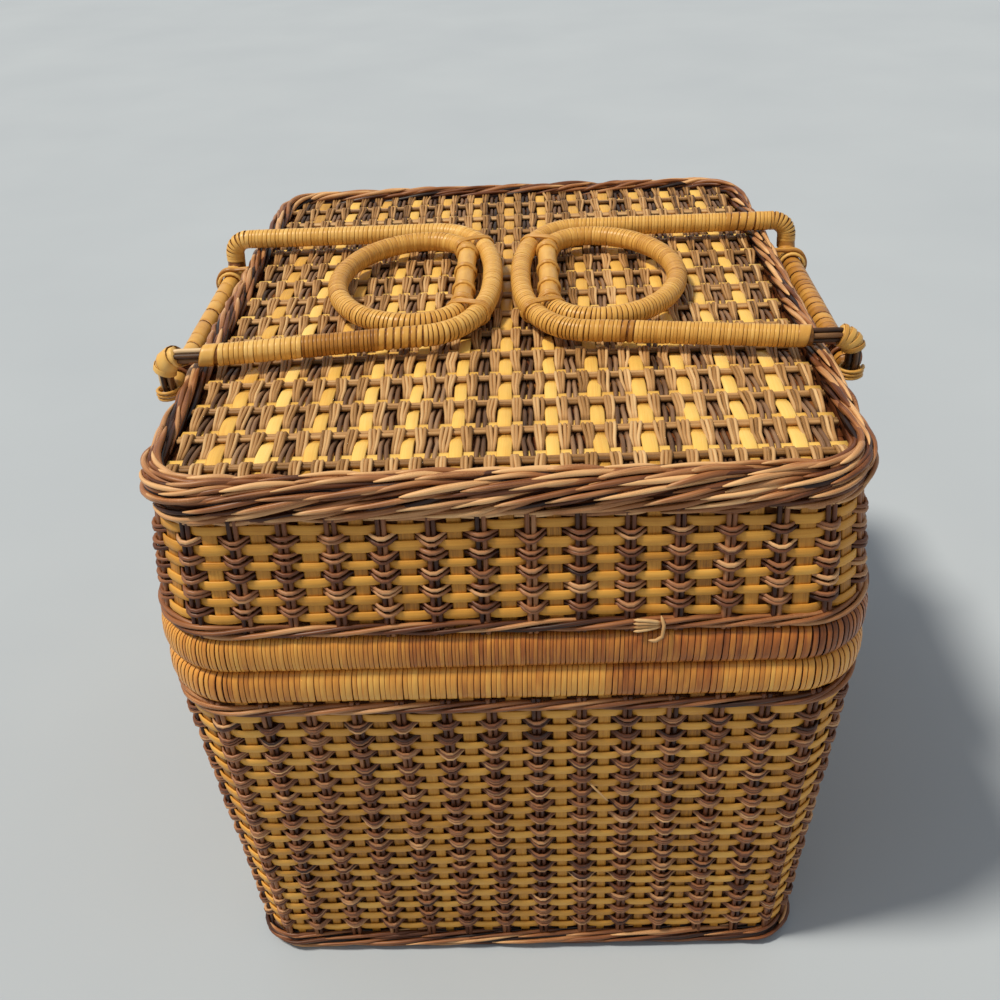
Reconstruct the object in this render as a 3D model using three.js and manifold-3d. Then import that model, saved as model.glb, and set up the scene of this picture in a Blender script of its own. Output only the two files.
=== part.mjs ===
// Wicker picnic hamper: a tapered box body, a deep box lid hinged at the back, and two
// cane-wrapped swing handles that fold flat over the lid.
// Millimetres, +Z up, front at -Y. The origin is on the floor, under the middle of the base.
import * as THREE from 'three';
import { mergeVertices } from 'three/addons/utils/BufferGeometryUtils.js';
import Module from 'manifold-3d';

const wasm = await Module();
wasm.setup();

// Overall form. Insets are measured inwards from the outside of the rims.
const RIM_WIDTH = 386;
const RIM_DEPTH = 472;
const RIM_CORNER = 46;
const BODY_HEIGHT = 256;
const LID_HEIGHT = 114;
const FOOT_INSET = 17;
const TOP_INSET = 7;
const SEAT_GAP = 0.3;
const CUT_OVERRUN = 1;
const CORNER_STEPS = 4;

// Woven walls and base. The rows of splint stand out from the wall as ribs.
const WALL = 4;
const BODY_ROWS = 18;
const LID_ROWS = 6;
const ROW_RELIEF = 1.6;
const BASE_THICKNESS = 5;
const FOOT_WIDTH = 14;
const FOOT_HEIGHT = 14;
const FOOT_CHAMFER = 3;
const FOOT_PROUD = 5;

// Rims: two hoops clamp the wall's edge, and a cane binding is wound over all three
const RIM_HEIGHT = 22;
const RIM_CHAMFER = 3;
const HOOP_THICKNESS = 3;
const HOOP_MARGIN = 1;
const BINDING = 1;

// Rolled border round the lid's top edge
const BORDER_WIDTH = 24;
const BORDER_PROUD = 6;

// Upright reed stakes outside the walls, held by a twined band beside the rim
const STAKE_PITCH = 24.5;
const STAKE_FOOT_WIDTH = 8;
const STAKE_CREST_WIDTH = 5;
const STAKE_PROUD = 2.2;
const CORNER_STAKES = 2;
const TWINE_HEIGHT = 7;
const TWINE_PROUD = 4.2;
const STAKE_HOLD = 4;

// Woven top of the lid: rods across, splints front to back, and a close ground of fine reeds between them
const LATTICE_DROP = 4;
const ROD_PITCH = 30;
const ROD_WIDTH = 7;
const ROD_PROUD = 3;
const SPLINT_PITCH = 24.5;
const SPLINT_WIDTH = 9;
const SPLINT_PROUD = 1.2;
const LATTICE_SINK = 0.5;
const GROUND_THICKNESS = 2;

// Swing handles. The side bar of each is its hinge axis.
const HANDLE_ROD = 13;
const HANDLE_SIDES = 10;
const ARM_SPACING = 192;
const BOW_TUCK = 16;
const BOW_REACH = 46;
const BOW_SQUARENESS = 2.4;
const BOW_STEPS = 12;
const BOW_GAP = 5;
const ARM_DROP = 24;
const BEND_RADIUS = 11;
const BEND_STEPS = 4;
const ARM_END_SETBACK = 25;
const ARM_STUB = 8;
const RING_LENGTH = 140;
const RING_WIDTH = 82;
const RING_CORNER = 28;
const RING_STEPS = 5;

// Bare core reeds that carry each front arm down to its side bar, and the wrap on their elbow
const REED_BUNDLE = 9.4;
const REED_LOBE = 0.12;
const REED_TURN = 8;
const REED_LANDING = 2;
const REED_SIDES = 9;
const ELBOW_WRAP = 1.6;
const ELBOW_CLEARANCE = 0.5;
const ELBOW_OVERHANG = 2;

// Eyes lashed to the lid's border, in which the side bars turn
const EYE_WALL = 4.5;
const EYE_WIDTH = 10;
const EYE_CLEARANCE = 0.4;
const EYE_SPACING = 148;
const EYE_SIDES = 10;
const EYE_PAD_HEIGHT = 20;
const EYE_PAD_THICKNESS = 3.5;

// Rear hinges: a bar between two lid lugs turns in one body eye
const HINGE_SPACING = 210;
const HINGE_LUG = 5.5;
const HINGE_PIN = 5;
const HINGE_CLEARANCE = 0.4;
const HINGE_EYE_WIDTH = 8;
const HINGE_LUG_WIDTH = 5;
const HINGE_SIDE_GAP = 0.5;
const HINGE_PLATE = 4;
const HINGE_PLATE_HEIGHT = 17;
const HINGE_SIDES = 10;

// Levels and places that follow from the sizes above
const RIM_THICKNESS = 2 * (BINDING + HOOP_THICKNESS + 2 * SEAT_GAP) + WALL;
const WALL_INSET = BINDING + HOOP_THICKNESS + 2 * SEAT_GAP;
const LID_SEAT = BODY_HEIGHT + SEAT_GAP;
const LID_TOP = LID_SEAT + LID_HEIGHT;
const BORDER_MIDDLE = LID_TOP - BORDER_WIDTH / 2;
const BORDER_UNDERSIDE = LID_TOP - BORDER_WIDTH;
const HANDLE_Z = LID_TOP + SEAT_GAP + HANDLE_ROD / 2;
const HINGE_Z = HANDLE_Z - ARM_DROP;
const EYE_BORE = HANDLE_ROD / 2 + EYE_CLEARANCE;
const EYE_OUTER = EYE_BORE + EYE_WALL;
const HANDLE_AXIS_X = RIM_WIDTH / 2 - TOP_INSET + SEAT_GAP + EYE_OUTER;
const ARM_Y = ARM_SPACING / 2;
const BAR_FRONT_Y = -(ARM_Y - REED_TURN - REED_LANDING);
const ARM_END_X = HANDLE_AXIS_X - ARM_END_SETBACK;
const BOW_CENTRE_X = BOW_GAP / 2 + HANDLE_ROD / 2 + BOW_REACH;
const BOW_CENTRE_Y = BOW_TUCK / 2;
const BOW_HALF = (ARM_SPACING - BOW_TUCK) / 2;
const LID_AXIS_Y = RIM_DEPTH / 2 + SEAT_GAP + HINGE_LUG;
const LID_AXIS_Z = BODY_HEIGHT + SEAT_GAP / 2;

const COLOURS = {
  splint: { color: 0xd9a441, roughness: 0.6, metalness: 0 },
  reed: { color: 0x6b4a33, roughness: 0.65, metalness: 0 },
  cane: { color: 0xc98f45, roughness: 0.5, metalness: 0 },
  rattan: { color: 0xa77b48, roughness: 0.6, metalness: 0 },
  core: { color: 0x4a3424, roughness: 0.7, metalness: 0 },
};

const basket = new THREE.Group();

// Gives a closed shape its material and name, and puts it in the basket.
function place(name, geometry, colour) {
  const mesh = new THREE.Mesh(geometry, new THREE.MeshStandardMaterial(COLOURS[colour]));
  mesh.name = name;
  basket.add(mesh);
}

// Makes a geometry from points and triangles, with its faces turned outwards.
function closedGeometry(points, triangles) {
  let volume = 0;
  for (const [a, b, c] of triangles) {
    volume += points[a].dot(new THREE.Vector3().crossVectors(points[b], points[c]));
  }
  const index = triangles.flatMap(([a, b, c]) => (volume < 0 ? [a, c, b] : [a, b, c]));
  const geometry = new THREE.BufferGeometry();
  geometry.setAttribute('position', new THREE.Float32BufferAttribute(points.flatMap((p) => p.toArray()), 3));
  geometry.setIndex(index);
  geometry.computeVertexNormals();
  return geometry;
}

// Turns a closed geometry into a solid that can be joined and cut.
function toSolid(geometry) {
  const bare = geometry.clone();
  bare.deleteAttribute('normal');
  bare.deleteAttribute('uv');
  const merged = mergeVertices(bare, 1e-4);
  const vertProperties = new Float32Array(merged.attributes.position.array);
  const triVerts = new Uint32Array(merged.index.array);
  return new wasm.Manifold(new wasm.Mesh({ numProp: 3, vertProperties, triVerts }));
}

// Turns a joined or cut solid back into a geometry.
function toGeometry(solid) {
  const mesh = solid.getMesh();
  const geometry = new THREE.BufferGeometry();
  geometry.setAttribute('position', new THREE.Float32BufferAttribute(mesh.vertProperties, 3));
  geometry.setIndex(new THREE.Uint32BufferAttribute(mesh.triVerts, 1));
  geometry.computeVertexNormals();
  return geometry;
}

// Joins several closed geometries into one.
function fuse(geometries) {
  return toGeometry(geometries.map(toSolid).reduce((whole, solid) => whole.add(solid)));
}

// A box given by its lowest and highest corners.
function boxBetween(low, high) {
  const size = high.map((value, axis) => value - low[axis]);
  const middle = high.map((value, axis) => (value + low[axis]) / 2);
  return new THREE.BoxGeometry(...size).translate(...middle);
}

// Corner radius of the basket's outline at an inset.
function cornerRadius(inset) {
  return Math.max(RIM_CORNER - inset, 1);
}

// One point of the basket's rounded outline at an inset: a corner number and an angle within it.
function outlinePoint(inset, corner, angle) {
  const radius = cornerRadius(inset);
  const turn = (corner * Math.PI) / 2 + angle;
  const signX = corner === 0 || corner === 3 ? 1 : -1;
  const signY = corner < 2 ? 1 : -1;
  return new THREE.Vector2(
    signX * (RIM_WIDTH / 2 - inset - radius) + radius * Math.cos(turn),
    signY * (RIM_DEPTH / 2 - inset - radius) + radius * Math.sin(turn),
  );
}

// The basket's rounded outline at an inset, once round.
function outline(inset) {
  const points = [];
  for (let corner = 0; corner < 4; corner += 1) {
    for (let step = 0; step <= CORNER_STEPS; step += 1) {
      points.push(outlinePoint(inset, corner, (step / CORNER_STEPS) * (Math.PI / 2)));
    }
  }
  return points;
}

// A ring round the basket whose section is a closed list of [inset, height] points.
function ringAround(section) {
  const points = [];
  for (const [inset, z] of section) {
    points.push(...outline(inset).map((p) => new THREE.Vector3(p.x, p.y, z)));
  }
  const around = 4 * (CORNER_STEPS + 1);
  const triangles = [];
  section.forEach((_, row) => {
    const next = (row + 1) % section.length;
    for (let i = 0; i < around; i += 1) {
      const j = (i + 1) % around;
      const [a, b] = [row * around + i, row * around + j];
      const [c, d] = [next * around + i, next * around + j];
      triangles.push([a, b, d], [a, d, c]);
    }
  });
  return closedGeometry(points, triangles);
}

// Sweeps a section of [across, up] points along a list of 3D points, and closes it on itself or caps it.
function sweep(path, section, closed = false) {
  const count = path.length;
  const tangents = path.map((_, i) => {
    const before = path[closed ? (i + count - 1) % count : Math.max(i - 1, 0)];
    const after = path[closed ? (i + 1) % count : Math.min(i + 1, count - 1)];
    return after.clone().sub(before).normalize();
  });
  const start = Math.abs(tangents[0].z) < 0.9 ? new THREE.Vector3(0, 0, 1) : new THREE.Vector3(0, 1, 0);
  let normal = start.sub(tangents[0].clone().multiplyScalar(start.dot(tangents[0]))).normalize();
  const points = [];
  path.forEach((point, i) => {
    normal = normal.clone().sub(tangents[i].clone().multiplyScalar(normal.dot(tangents[i]))).normalize();
    const across = new THREE.Vector3().crossVectors(tangents[i], normal);
    for (const [u, v] of section) {
      points.push(point.clone().addScaledVector(across, u).addScaledVector(normal, v));
    }
  });
  const sides = section.length;
  const triangles = [];
  for (let i = 0; i < (closed ? count : count - 1); i += 1) {
    const row = i * sides;
    const next = ((i + 1) % count) * sides;
    for (let k = 0; k < sides; k += 1) {
      const m = (k + 1) % sides;
      triangles.push([row + k, row + m, next + m], [row + k, next + m, next + k]);
    }
  }
  if (!closed) {
    const last = (count - 1) * sides;
    for (let k = 1; k < sides - 1; k += 1) {
      triangles.push([0, k + 1, k], [last, last + k, last + k + 1]);
    }
  }
  return closedGeometry(points, triangles);
}

// A section with a number of sides whose radius may swell into lobes.
function lobedSection(radius, sides, lobes = 0, depth = 0) {
  return Array.from({ length: sides }, (_, k) => {
    const angle = (2 * Math.PI * (k + 0.5)) / sides;
    const reach = radius * (1 - depth + depth * Math.cos(lobes * angle));
    return [reach * Math.cos(angle), reach * Math.sin(angle)];
  });
}

// An arc that rounds the corner between three points, as a list of points.
function roundedCorner(before, corner, after, radius, steps) {
  const inward = before.clone().sub(corner).normalize();
  const outward = after.clone().sub(corner).normalize();
  const half = inward.angleTo(outward) / 2;
  const bisector = inward.clone().add(outward).normalize();
  const centre = corner.clone().addScaledVector(bisector, radius / Math.sin(half));
  const first = corner.clone().addScaledVector(inward, radius / Math.tan(half)).sub(centre);
  const axis = new THREE.Vector3().crossVectors(outward, inward).normalize();
  const sweepAngle = Math.PI - 2 * half;
  return Array.from({ length: steps + 1 }, (_, k) => {
    return first.clone().applyAxisAngle(axis, (sweepAngle * k) / steps).add(centre);
  });
}

// Each wall stands upright inside its rim and slopes from the rim's open end to its far edge.
const BODY_WALL = {
  collar: BODY_HEIGHT - BINDING - SEAT_GAP,
  rimEnd: BODY_HEIGHT - RIM_HEIGHT - SEAT_GAP,
  farEnd: FOOT_HEIGHT + SEAT_GAP,
  farInset: FOOT_INSET + FOOT_PROUD,
  rows: BODY_ROWS,
};
const LID_WALL = {
  collar: LID_SEAT + BINDING + SEAT_GAP,
  rimEnd: LID_SEAT + RIM_HEIGHT + SEAT_GAP,
  farEnd: BORDER_UNDERSIDE - SEAT_GAP,
  farInset: TOP_INSET + BORDER_PROUD,
  rows: LID_ROWS,
};

// Inset of a wall's sloping outer face at a height.
function wallInset(wall, z) {
  return THREE.MathUtils.mapLinear(z, wall.rimEnd, wall.farEnd, WALL_INSET, wall.farInset);
}

// Height where a wall's twined band ends and its woven rows start.
function bandEnd(wall) {
  return wall.rimEnd + Math.sign(wall.farEnd - wall.rimEnd) * TWINE_HEIGHT;
}

// The rows of splint of a wall: each is a crest between two valleys, as [inset, height] points.
function rowProfile(wall) {
  const start = bandEnd(wall);
  return Array.from({ length: 2 * wall.rows - 1 }, (_, k) => {
    const z = THREE.MathUtils.lerp(start, wall.farEnd, (k + 1) / (2 * wall.rows));
    return [wallInset(wall, z) - (k % 2 === 0 ? ROW_RELIEF : 0), z];
  });
}

// The woven sheet of a wall: a shell that is ribbed outside and plain inside.
function wallShell(wall) {
  const ends = [[WALL_INSET, wall.collar], [WALL_INSET, wall.rimEnd], [wall.farInset, wall.farEnd]];
  const start = [wallInset(wall, bandEnd(wall)), bandEnd(wall)];
  const outer = [ends[0], ends[1], start, ...rowProfile(wall), ends[2]];
  const inner = ends.map(([inset, z]) => [inset + WALL, z]).reverse();
  return ringAround([...outer, ...inner]);
}

// One upright stake between two heights, as a bar with a narrower crest, just clear of the wall's rows.
function stake(wall, low, high, corner, angle, slide) {
  const points = [];
  for (const z of [low, high]) {
    const foot = wallInset(wall, z) - ROW_RELIEF - SEAT_GAP;
    for (const [inset, width] of [[foot, STAKE_FOOT_WIDTH], [foot - STAKE_PROUD, STAKE_CREST_WIDTH]]) {
      const middle = outlinePoint(inset, corner, angle);
      const turn = (corner * Math.PI) / 2 + angle;
      const along = new THREE.Vector2(-Math.sin(turn), Math.cos(turn));
      middle.addScaledVector(along, slide);
      for (const side of [-0.5, 0.5]) {
        const p = middle.clone().addScaledVector(along, side * width);
        points.push(new THREE.Vector3(p.x, p.y, z));
      }
    }
  }
  const faces = [[0, 1, 3, 2], [4, 6, 7, 5], [0, 4, 5, 1], [2, 3, 7, 6], [0, 2, 6, 4], [1, 5, 7, 3]];
  return closedGeometry(points, faces.flatMap(([a, b, c, d]) => [[a, b, c], [a, c, d]]));
}

// The twined band round a wall, beside its rim.
function twinedBand(wall) {
  const inner = [wall.rimEnd, bandEnd(wall)].map((z) => [wallInset(wall, z) - SEAT_GAP, z]);
  const outer = inner.map(([inset, z]) => [inset - TWINE_PROUD, z]).reverse();
  return ringAround([...inner, ...outer]);
}

// All stakes of one wall, each held at one end in the twined band.
function stakeCage(wall) {
  const heldEnd = bandEnd(wall) + Math.sign(wall.rimEnd - wall.farEnd) * STAKE_HOLD;
  const pieces = [twinedBand(wall)];
  for (let corner = 0; corner < 4; corner += 1) {
    for (let k = 0; k < CORNER_STAKES; k += 1) {
      const angle = ((k + 0.5) / CORNER_STAKES) * (Math.PI / 2);
      pieces.push(stake(wall, heldEnd, wall.farEnd, corner, angle, 0));
    }
    const side = (corner % 2 === 0 ? RIM_WIDTH : RIM_DEPTH) - 2 * RIM_CORNER;
    const count = Math.max(Math.round(side / STAKE_PITCH), 1);
    for (let k = 0; k < count; k += 1) {
      pieces.push(stake(wall, heldEnd, wall.farEnd, corner, Math.PI / 2, ((k + 0.5) / count) * side));
    }
  }
  return fuse(pieces);
}

// The cane binding of a rim: a trough over the hoops, closed at the seat and open the other way.
function rimBinding(seat, direction) {
  const bend = RIM_CHAMFER + BINDING * (Math.SQRT2 - 1);
  const outer = [[0, RIM_HEIGHT], [0, RIM_CHAMFER], [RIM_CHAMFER, 0]];
  const inner = [[bend, BINDING], [BINDING, bend], [BINDING, RIM_HEIGHT]];
  const mirrored = ([inset, rise]) => [RIM_THICKNESS - inset, rise];
  const section = [
    ...outer,
    ...outer.map(mirrored).reverse(),
    ...inner.map(mirrored).reverse(),
    ...inner,
  ];
  return ringAround(section.map(([inset, rise]) => [inset, seat + direction * rise]));
}

// One flat hoop of a rim, beside the wall's edge.
function rimHoop(inset, seat, direction) {
  const near = seat + direction * (RIM_CHAMFER + HOOP_MARGIN);
  const far = seat + direction * (RIM_HEIGHT - HOOP_MARGIN);
  const outside = inset + HOOP_THICKNESS;
  return ringAround([[inset, near], [outside, near], [outside, far], [inset, far]]);
}

// The hoops and binding of one rim.
function addRim(prefix, seat, direction) {
  const outerInset = BINDING + SEAT_GAP;
  const innerInset = WALL_INSET + WALL + SEAT_GAP;
  place(`${prefix}_outer_hoop`, rimHoop(outerInset, seat, direction), 'rattan');
  place(`${prefix}_inner_hoop`, rimHoop(innerInset, seat, direction), 'rattan');
  place(`${prefix}_rim_binding`, rimBinding(seat, direction), 'cane');
}

// The rolled foot border, flat underneath.
function footBorder() {
  const far = FOOT_INSET + FOOT_WIDTH;
  return ringAround([
    [FOOT_INSET + FOOT_CHAMFER, 0],
    [FOOT_INSET, FOOT_CHAMFER],
    [FOOT_INSET, FOOT_HEIGHT - FOOT_CHAMFER],
    [FOOT_INSET + FOOT_CHAMFER, FOOT_HEIGHT],
    [far - FOOT_CHAMFER, FOOT_HEIGHT],
    [far, FOOT_HEIGHT - FOOT_CHAMFER],
    [far, 0],
  ]);
}

// A flat plate with the basket's rounded outline.
function platePrism(inset, low, thickness) {
  const shape = new THREE.Shape(outline(inset));
  return new THREE.ExtrudeGeometry(shape, { depth: thickness, bevelEnabled: false }).translate(0, 0, low);
}

// The rolled border round the lid's top edge, eight-sided in section.
function lidBorder() {
  const half = BORDER_WIDTH / 2;
  const flat = half * Math.tan(Math.PI / 8);
  const middle = TOP_INSET + half;
  const corners = [[-half, -flat], [-half, flat], [-flat, half], [flat, half]];
  const section = [...corners, ...corners.map(([u, v]) => [-u, -v])];
  return ringAround(section.map(([u, v]) => [middle + u, BORDER_MIDDLE + v]));
}

// The woven top of the lid: splints run front to back on a thin close ground, and rods lie across them.
// All are cut to the border.
function lidLattice() {
  const inset = TOP_INSET + BORDER_WIDTH + SEAT_GAP;
  const reachX = RIM_WIDTH / 2 - inset;
  const reachY = RIM_DEPTH / 2 - inset;
  const top = LID_TOP - LATTICE_DROP;
  const groundHigh = top - ROD_PROUD;
  const groundLow = groundHigh - GROUND_THICKNESS;
  const barLow = groundHigh - LATTICE_SINK;
  const bars = [boxBetween([-reachX, -reachY, groundLow], [reachX, reachY, groundHigh])];
  const splintSide = Math.floor((reachX - SPLINT_WIDTH / 2) / SPLINT_PITCH);
  for (let k = -splintSide; k <= splintSide; k += 1) {
    const x = k * SPLINT_PITCH;
    const high = [x + SPLINT_WIDTH / 2, reachY, groundHigh + SPLINT_PROUD];
    bars.push(boxBetween([x - SPLINT_WIDTH / 2, -reachY, barLow], high));
  }
  const rodPairs = Math.floor(reachY / ROD_PITCH + 0.5 - ROD_WIDTH / (2 * ROD_PITCH));
  for (let k = -rodPairs; k < rodPairs; k += 1) {
    const y = (k + 0.5) * ROD_PITCH;
    bars.push(boxBetween([-reachX, y - ROD_WIDTH / 2, barLow], [reachX, y + ROD_WIDTH / 2, top]));
  }
  const field = platePrism(inset, groundLow - CUT_OVERRUN, top - groundLow + 2 * CUT_OVERRUN);
  return toGeometry(toSolid(fuse(bars)).intersect(toSolid(field)));
}

// Centre line of a handle's bow, from the front arm round to the back arm: half of an oval that is squarer
// than an ellipse.
function bowPath(side) {
  const squared = (value) => Math.sign(value) * Math.abs(value) ** (2 / BOW_SQUARENESS);
  return Array.from({ length: BOW_STEPS + 1 }, (_, k) => {
    const angle = -Math.PI / 2 + (Math.PI * k) / BOW_STEPS;
    const x = BOW_CENTRE_X - BOW_REACH * squared(Math.max(Math.cos(angle), 0));
    const y = BOW_CENTRE_Y + BOW_HALF * squared(Math.sin(angle));
    return new THREE.Vector3(side * x, y, HANDLE_Z);
  });
}

// One handle's wrapped rod: a short stub, the slanting front arm, bow, back arm, bend down, and the side bar
// on the hinge axis.
function handleFrame(side) {
  const axisX = side * HANDLE_AXIS_X;
  const backArm = new THREE.Vector3(side * BOW_CENTRE_X, ARM_Y, HANDLE_Z);
  const backCorner = new THREE.Vector3(axisX, ARM_Y, HANDLE_Z);
  const barCorner = new THREE.Vector3(axisX, ARM_Y, HINGE_Z);
  const barEnd = new THREE.Vector3(axisX, BAR_FRONT_Y, HINGE_Z);
  const path = [
    new THREE.Vector3(side * ARM_END_X, -ARM_Y, HANDLE_Z),
    new THREE.Vector3(side * (ARM_END_X - ARM_STUB), -ARM_Y, HANDLE_Z),
    ...bowPath(side),
    ...roundedCorner(backArm, backCorner, barCorner, BEND_RADIUS, BEND_STEPS),
    ...roundedCorner(backCorner, barCorner, barEnd, BEND_RADIUS, BEND_STEPS),
    barEnd,
  ];
  return sweep(path, lobedSection(HANDLE_ROD / 2, HANDLE_SIDES));
}

// Centre line of a grip ring whose straight grip bar stands at one distance from the middle.
function ringPath(side, gripX) {
  const half = RING_LENGTH / 2;
  const spot = (x, y) => new THREE.Vector3(side * x, BOW_CENTRE_Y + y, HANDLE_Z);
  const nearCorner = (sign) => spot(gripX, sign * half);
  const middle = spot(gripX, 0);
  const farReach = RING_WIDTH - RING_CORNER;
  const shoulder = (sign) => spot(gripX + RING_CORNER, sign * half);
  const round = Array.from({ length: 2 * RING_STEPS + 1 }, (_, k) => {
    const angle = Math.PI / 2 - (Math.PI * k) / (2 * RING_STEPS);
    const x = gripX + RING_CORNER + farReach * Math.cos(angle);
    return spot(x, half * Math.sin(angle));
  });
  return [
    ...roundedCorner(middle, nearCorner(1), shoulder(1), RING_CORNER, RING_STEPS).slice(0, -1),
    ...round,
    ...roundedCorner(shoulder(-1), nearCorner(-1), middle, RING_CORNER, RING_STEPS).slice(1),
  ];
}

// Least distance between two lists of points, each point of the first taken against the second's segments.
function leastDistance(first, second) {
  let least = Infinity;
  const nearest = new THREE.Vector3();
  for (let i = 0; i < second.length - 1; i += 1) {
    const segment = new THREE.Line3(second[i], second[i + 1]);
    for (const point of first) {
      segment.closestPointToPoint(point, true, nearest);
      least = Math.min(least, nearest.distanceTo(point));
    }
  }
  return least;
}

// Place of the grip bar at which the ring's corners just rest against the bow.
function seatedGripX() {
  const bow = bowPath(1);
  const wanted = HANDLE_ROD * Math.cos(Math.PI / HANDLE_SIDES) + SEAT_GAP;
  let near = BOW_CENTRE_X - BOW_REACH;
  let far = near + 2 * (BOW_REACH + HANDLE_ROD);
  for (let pass = 0; pass < 40; pass += 1) {
    const middle = (near + far) / 2;
    if (leastDistance(ringPath(1, middle), bow) < wanted) near = middle;
    else far = middle;
  }
  return far;
}

// Centre line of the bare reeds from the front arm's end down to the side bar's end.
function reedPath(side) {
  const axisX = side * HANDLE_AXIS_X;
  const start = new THREE.Vector3(side * (ARM_END_X + SEAT_GAP), -ARM_Y, HANDLE_Z);
  const elbow = new THREE.Vector3(axisX, -ARM_Y, HANDLE_Z);
  const heel = new THREE.Vector3(axisX, -ARM_Y, HINGE_Z);
  const end = new THREE.Vector3(axisX, BAR_FRONT_Y - SEAT_GAP, HINGE_Z);
  const bend = roundedCorner(start, elbow, heel, BEND_RADIUS, BEND_STEPS);
  const turn = roundedCorner(elbow, heel, end, REED_TURN, BEND_STEPS);
  return { bend, whole: [start, ...bend, ...turn, end] };
}

// A point that lies a distance from one point on the way to another.
function towards(from, to, distance) {
  return from.clone().addScaledVector(to.clone().sub(from).normalize(), distance);
}

// A short wrap on the middle of the reeds' elbow: a sleeve open at both ends.
function elbowWrap(bend) {
  const last = bend.length - 1;
  const sleeveAlong = (overhang) => [
    towards(bend[1], bend[0], overhang),
    ...bend.slice(1, -1),
    towards(bend[last - 1], bend[last], overhang),
  ];
  const boreRadius = (REED_BUNDLE / 2 + ELBOW_CLEARANCE) / Math.cos(Math.PI / HANDLE_SIDES);
  const outerSection = lobedSection(REED_BUNDLE / 2 + ELBOW_CLEARANCE + ELBOW_WRAP, HANDLE_SIDES);
  const bore = sweep(sleeveAlong(ELBOW_OVERHANG + CUT_OVERRUN), lobedSection(boreRadius, HANDLE_SIDES));
  const sleeve = sweep(sleeveAlong(ELBOW_OVERHANG), outerSection);
  return toGeometry(toSolid(sleeve).subtract(toSolid(bore)));
}

// An eye lashed to the lid's border, with its bore on the side bar.
function sideEye(side, y) {
  const axisX = side * HANDLE_AXIS_X;
  const shape = new THREE.Shape();
  shape.absarc(0, 0, EYE_OUTER, 0, 2 * Math.PI);
  const hole = new THREE.Path();
  hole.absarc(0, 0, EYE_BORE / Math.cos(Math.PI / EYE_SIDES), 0, 2 * Math.PI);
  shape.holes.push(hole);
  const options = { depth: EYE_WIDTH, bevelEnabled: false, curveSegments: EYE_SIDES };
  const ring = new THREE.ExtrudeGeometry(shape, options).rotateX(Math.PI / 2);
  ring.translate(axisX, y + EYE_WIDTH / 2, HINGE_Z);
  const inner = side * (RIM_WIDTH / 2 - TOP_INSET + SEAT_GAP);
  const outer = inner + side * EYE_PAD_THICKNESS;
  const pad = boxBetween(
    [Math.min(inner, outer), y - EYE_WIDTH / 2, HINGE_Z - EYE_PAD_HEIGHT / 2],
    [Math.max(inner, outer), y + EYE_WIDTH / 2, HINGE_Z + EYE_PAD_HEIGHT / 2],
  );
  return fuse([ring, pad]);
}

// One swing handle with its grip ring, bare reeds and elbow wrap, and the two eyes that carry it.
function addHandle(prefix, side, gripX) {
  const reeds = reedPath(side);
  const ringSection = lobedSection(HANDLE_ROD / 2, HANDLE_SIDES);
  const reedSection = lobedSection(REED_BUNDLE / 2, REED_SIDES, 3, REED_LOBE);
  place(`${prefix}_handle_frame`, handleFrame(side), 'cane');
  place(`${prefix}_grip_ring`, sweep(ringPath(side, gripX), ringSection, true), 'cane');
  place(`${prefix}_core_reeds`, sweep(reeds.whole, reedSection), 'core');
  place(`${prefix}_elbow_wrap`, elbowWrap(reeds.bend), 'cane');
  place(`${prefix}_front_eye`, sideEye(side, -EYE_SPACING / 2), 'reed');
  place(`${prefix}_rear_eye`, sideEye(side, EYE_SPACING / 2), 'reed');
}

// A hinge lug in profile: round on the axis, with a plate up or down the rim behind it.
function hingeLug(direction, width, bore) {
  const shape = new THREE.Shape();
  shape.moveTo(-HINGE_LUG, HINGE_PLATE_HEIGHT);
  shape.lineTo(-HINGE_LUG, 0);
  shape.absarc(0, 0, HINGE_LUG, Math.PI, 2 * Math.PI);
  shape.lineTo(HINGE_PLATE - HINGE_LUG, HINGE_PLATE_HEIGHT);
  if (bore > 0) {
    const hole = new THREE.Path();
    hole.absarc(0, 0, bore / Math.cos(Math.PI / HINGE_SIDES), 0, 2 * Math.PI);
    shape.holes.push(hole);
  }
  const options = { depth: width, bevelEnabled: false, curveSegments: HINGE_SIDES };
  const lug = new THREE.ExtrudeGeometry(shape, options).translate(0, 0, -width / 2);
  lug.rotateX(Math.PI / 2);
  lug.rotateZ(Math.PI / 2);
  if (direction < 0) lug.rotateX(Math.PI).rotateZ(Math.PI);
  return lug;
}

// The body's half of one rear hinge: an eye on the axis.
function bodyHinge(x) {
  const lug = hingeLug(-1, HINGE_EYE_WIDTH, HINGE_PIN / 2 + HINGE_CLEARANCE);
  return lug.translate(x, LID_AXIS_Y, LID_AXIS_Z);
}

// The lid's half of one rear hinge: two lugs joined by the bar that turns in the body's eye.
function lidHinge(x) {
  const reach = HINGE_EYE_WIDTH / 2 + HINGE_SIDE_GAP + HINGE_LUG_WIDTH / 2;
  const lugs = [-reach, reach].map((shift) => hingeLug(1, HINGE_LUG_WIDTH, 0).translate(shift, 0, 0));
  const bar = new THREE.CylinderGeometry(HINGE_PIN / 2, HINGE_PIN / 2, 2 * reach, HINGE_SIDES);
  bar.rotateZ(Math.PI / 2);
  return fuse([...lugs, bar]).translate(x, LID_AXIS_Y, LID_AXIS_Z);
}

// Body
place('base_panel', platePrism(FOOT_INSET + FOOT_WIDTH + SEAT_GAP, 0, BASE_THICKNESS), 'splint');
place('foot_border', footBorder(), 'reed');
place('body_wall', wallShell(BODY_WALL), 'splint');
place('body_stakes', stakeCage(BODY_WALL), 'reed');
addRim('body', BODY_HEIGHT, -1);

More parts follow.
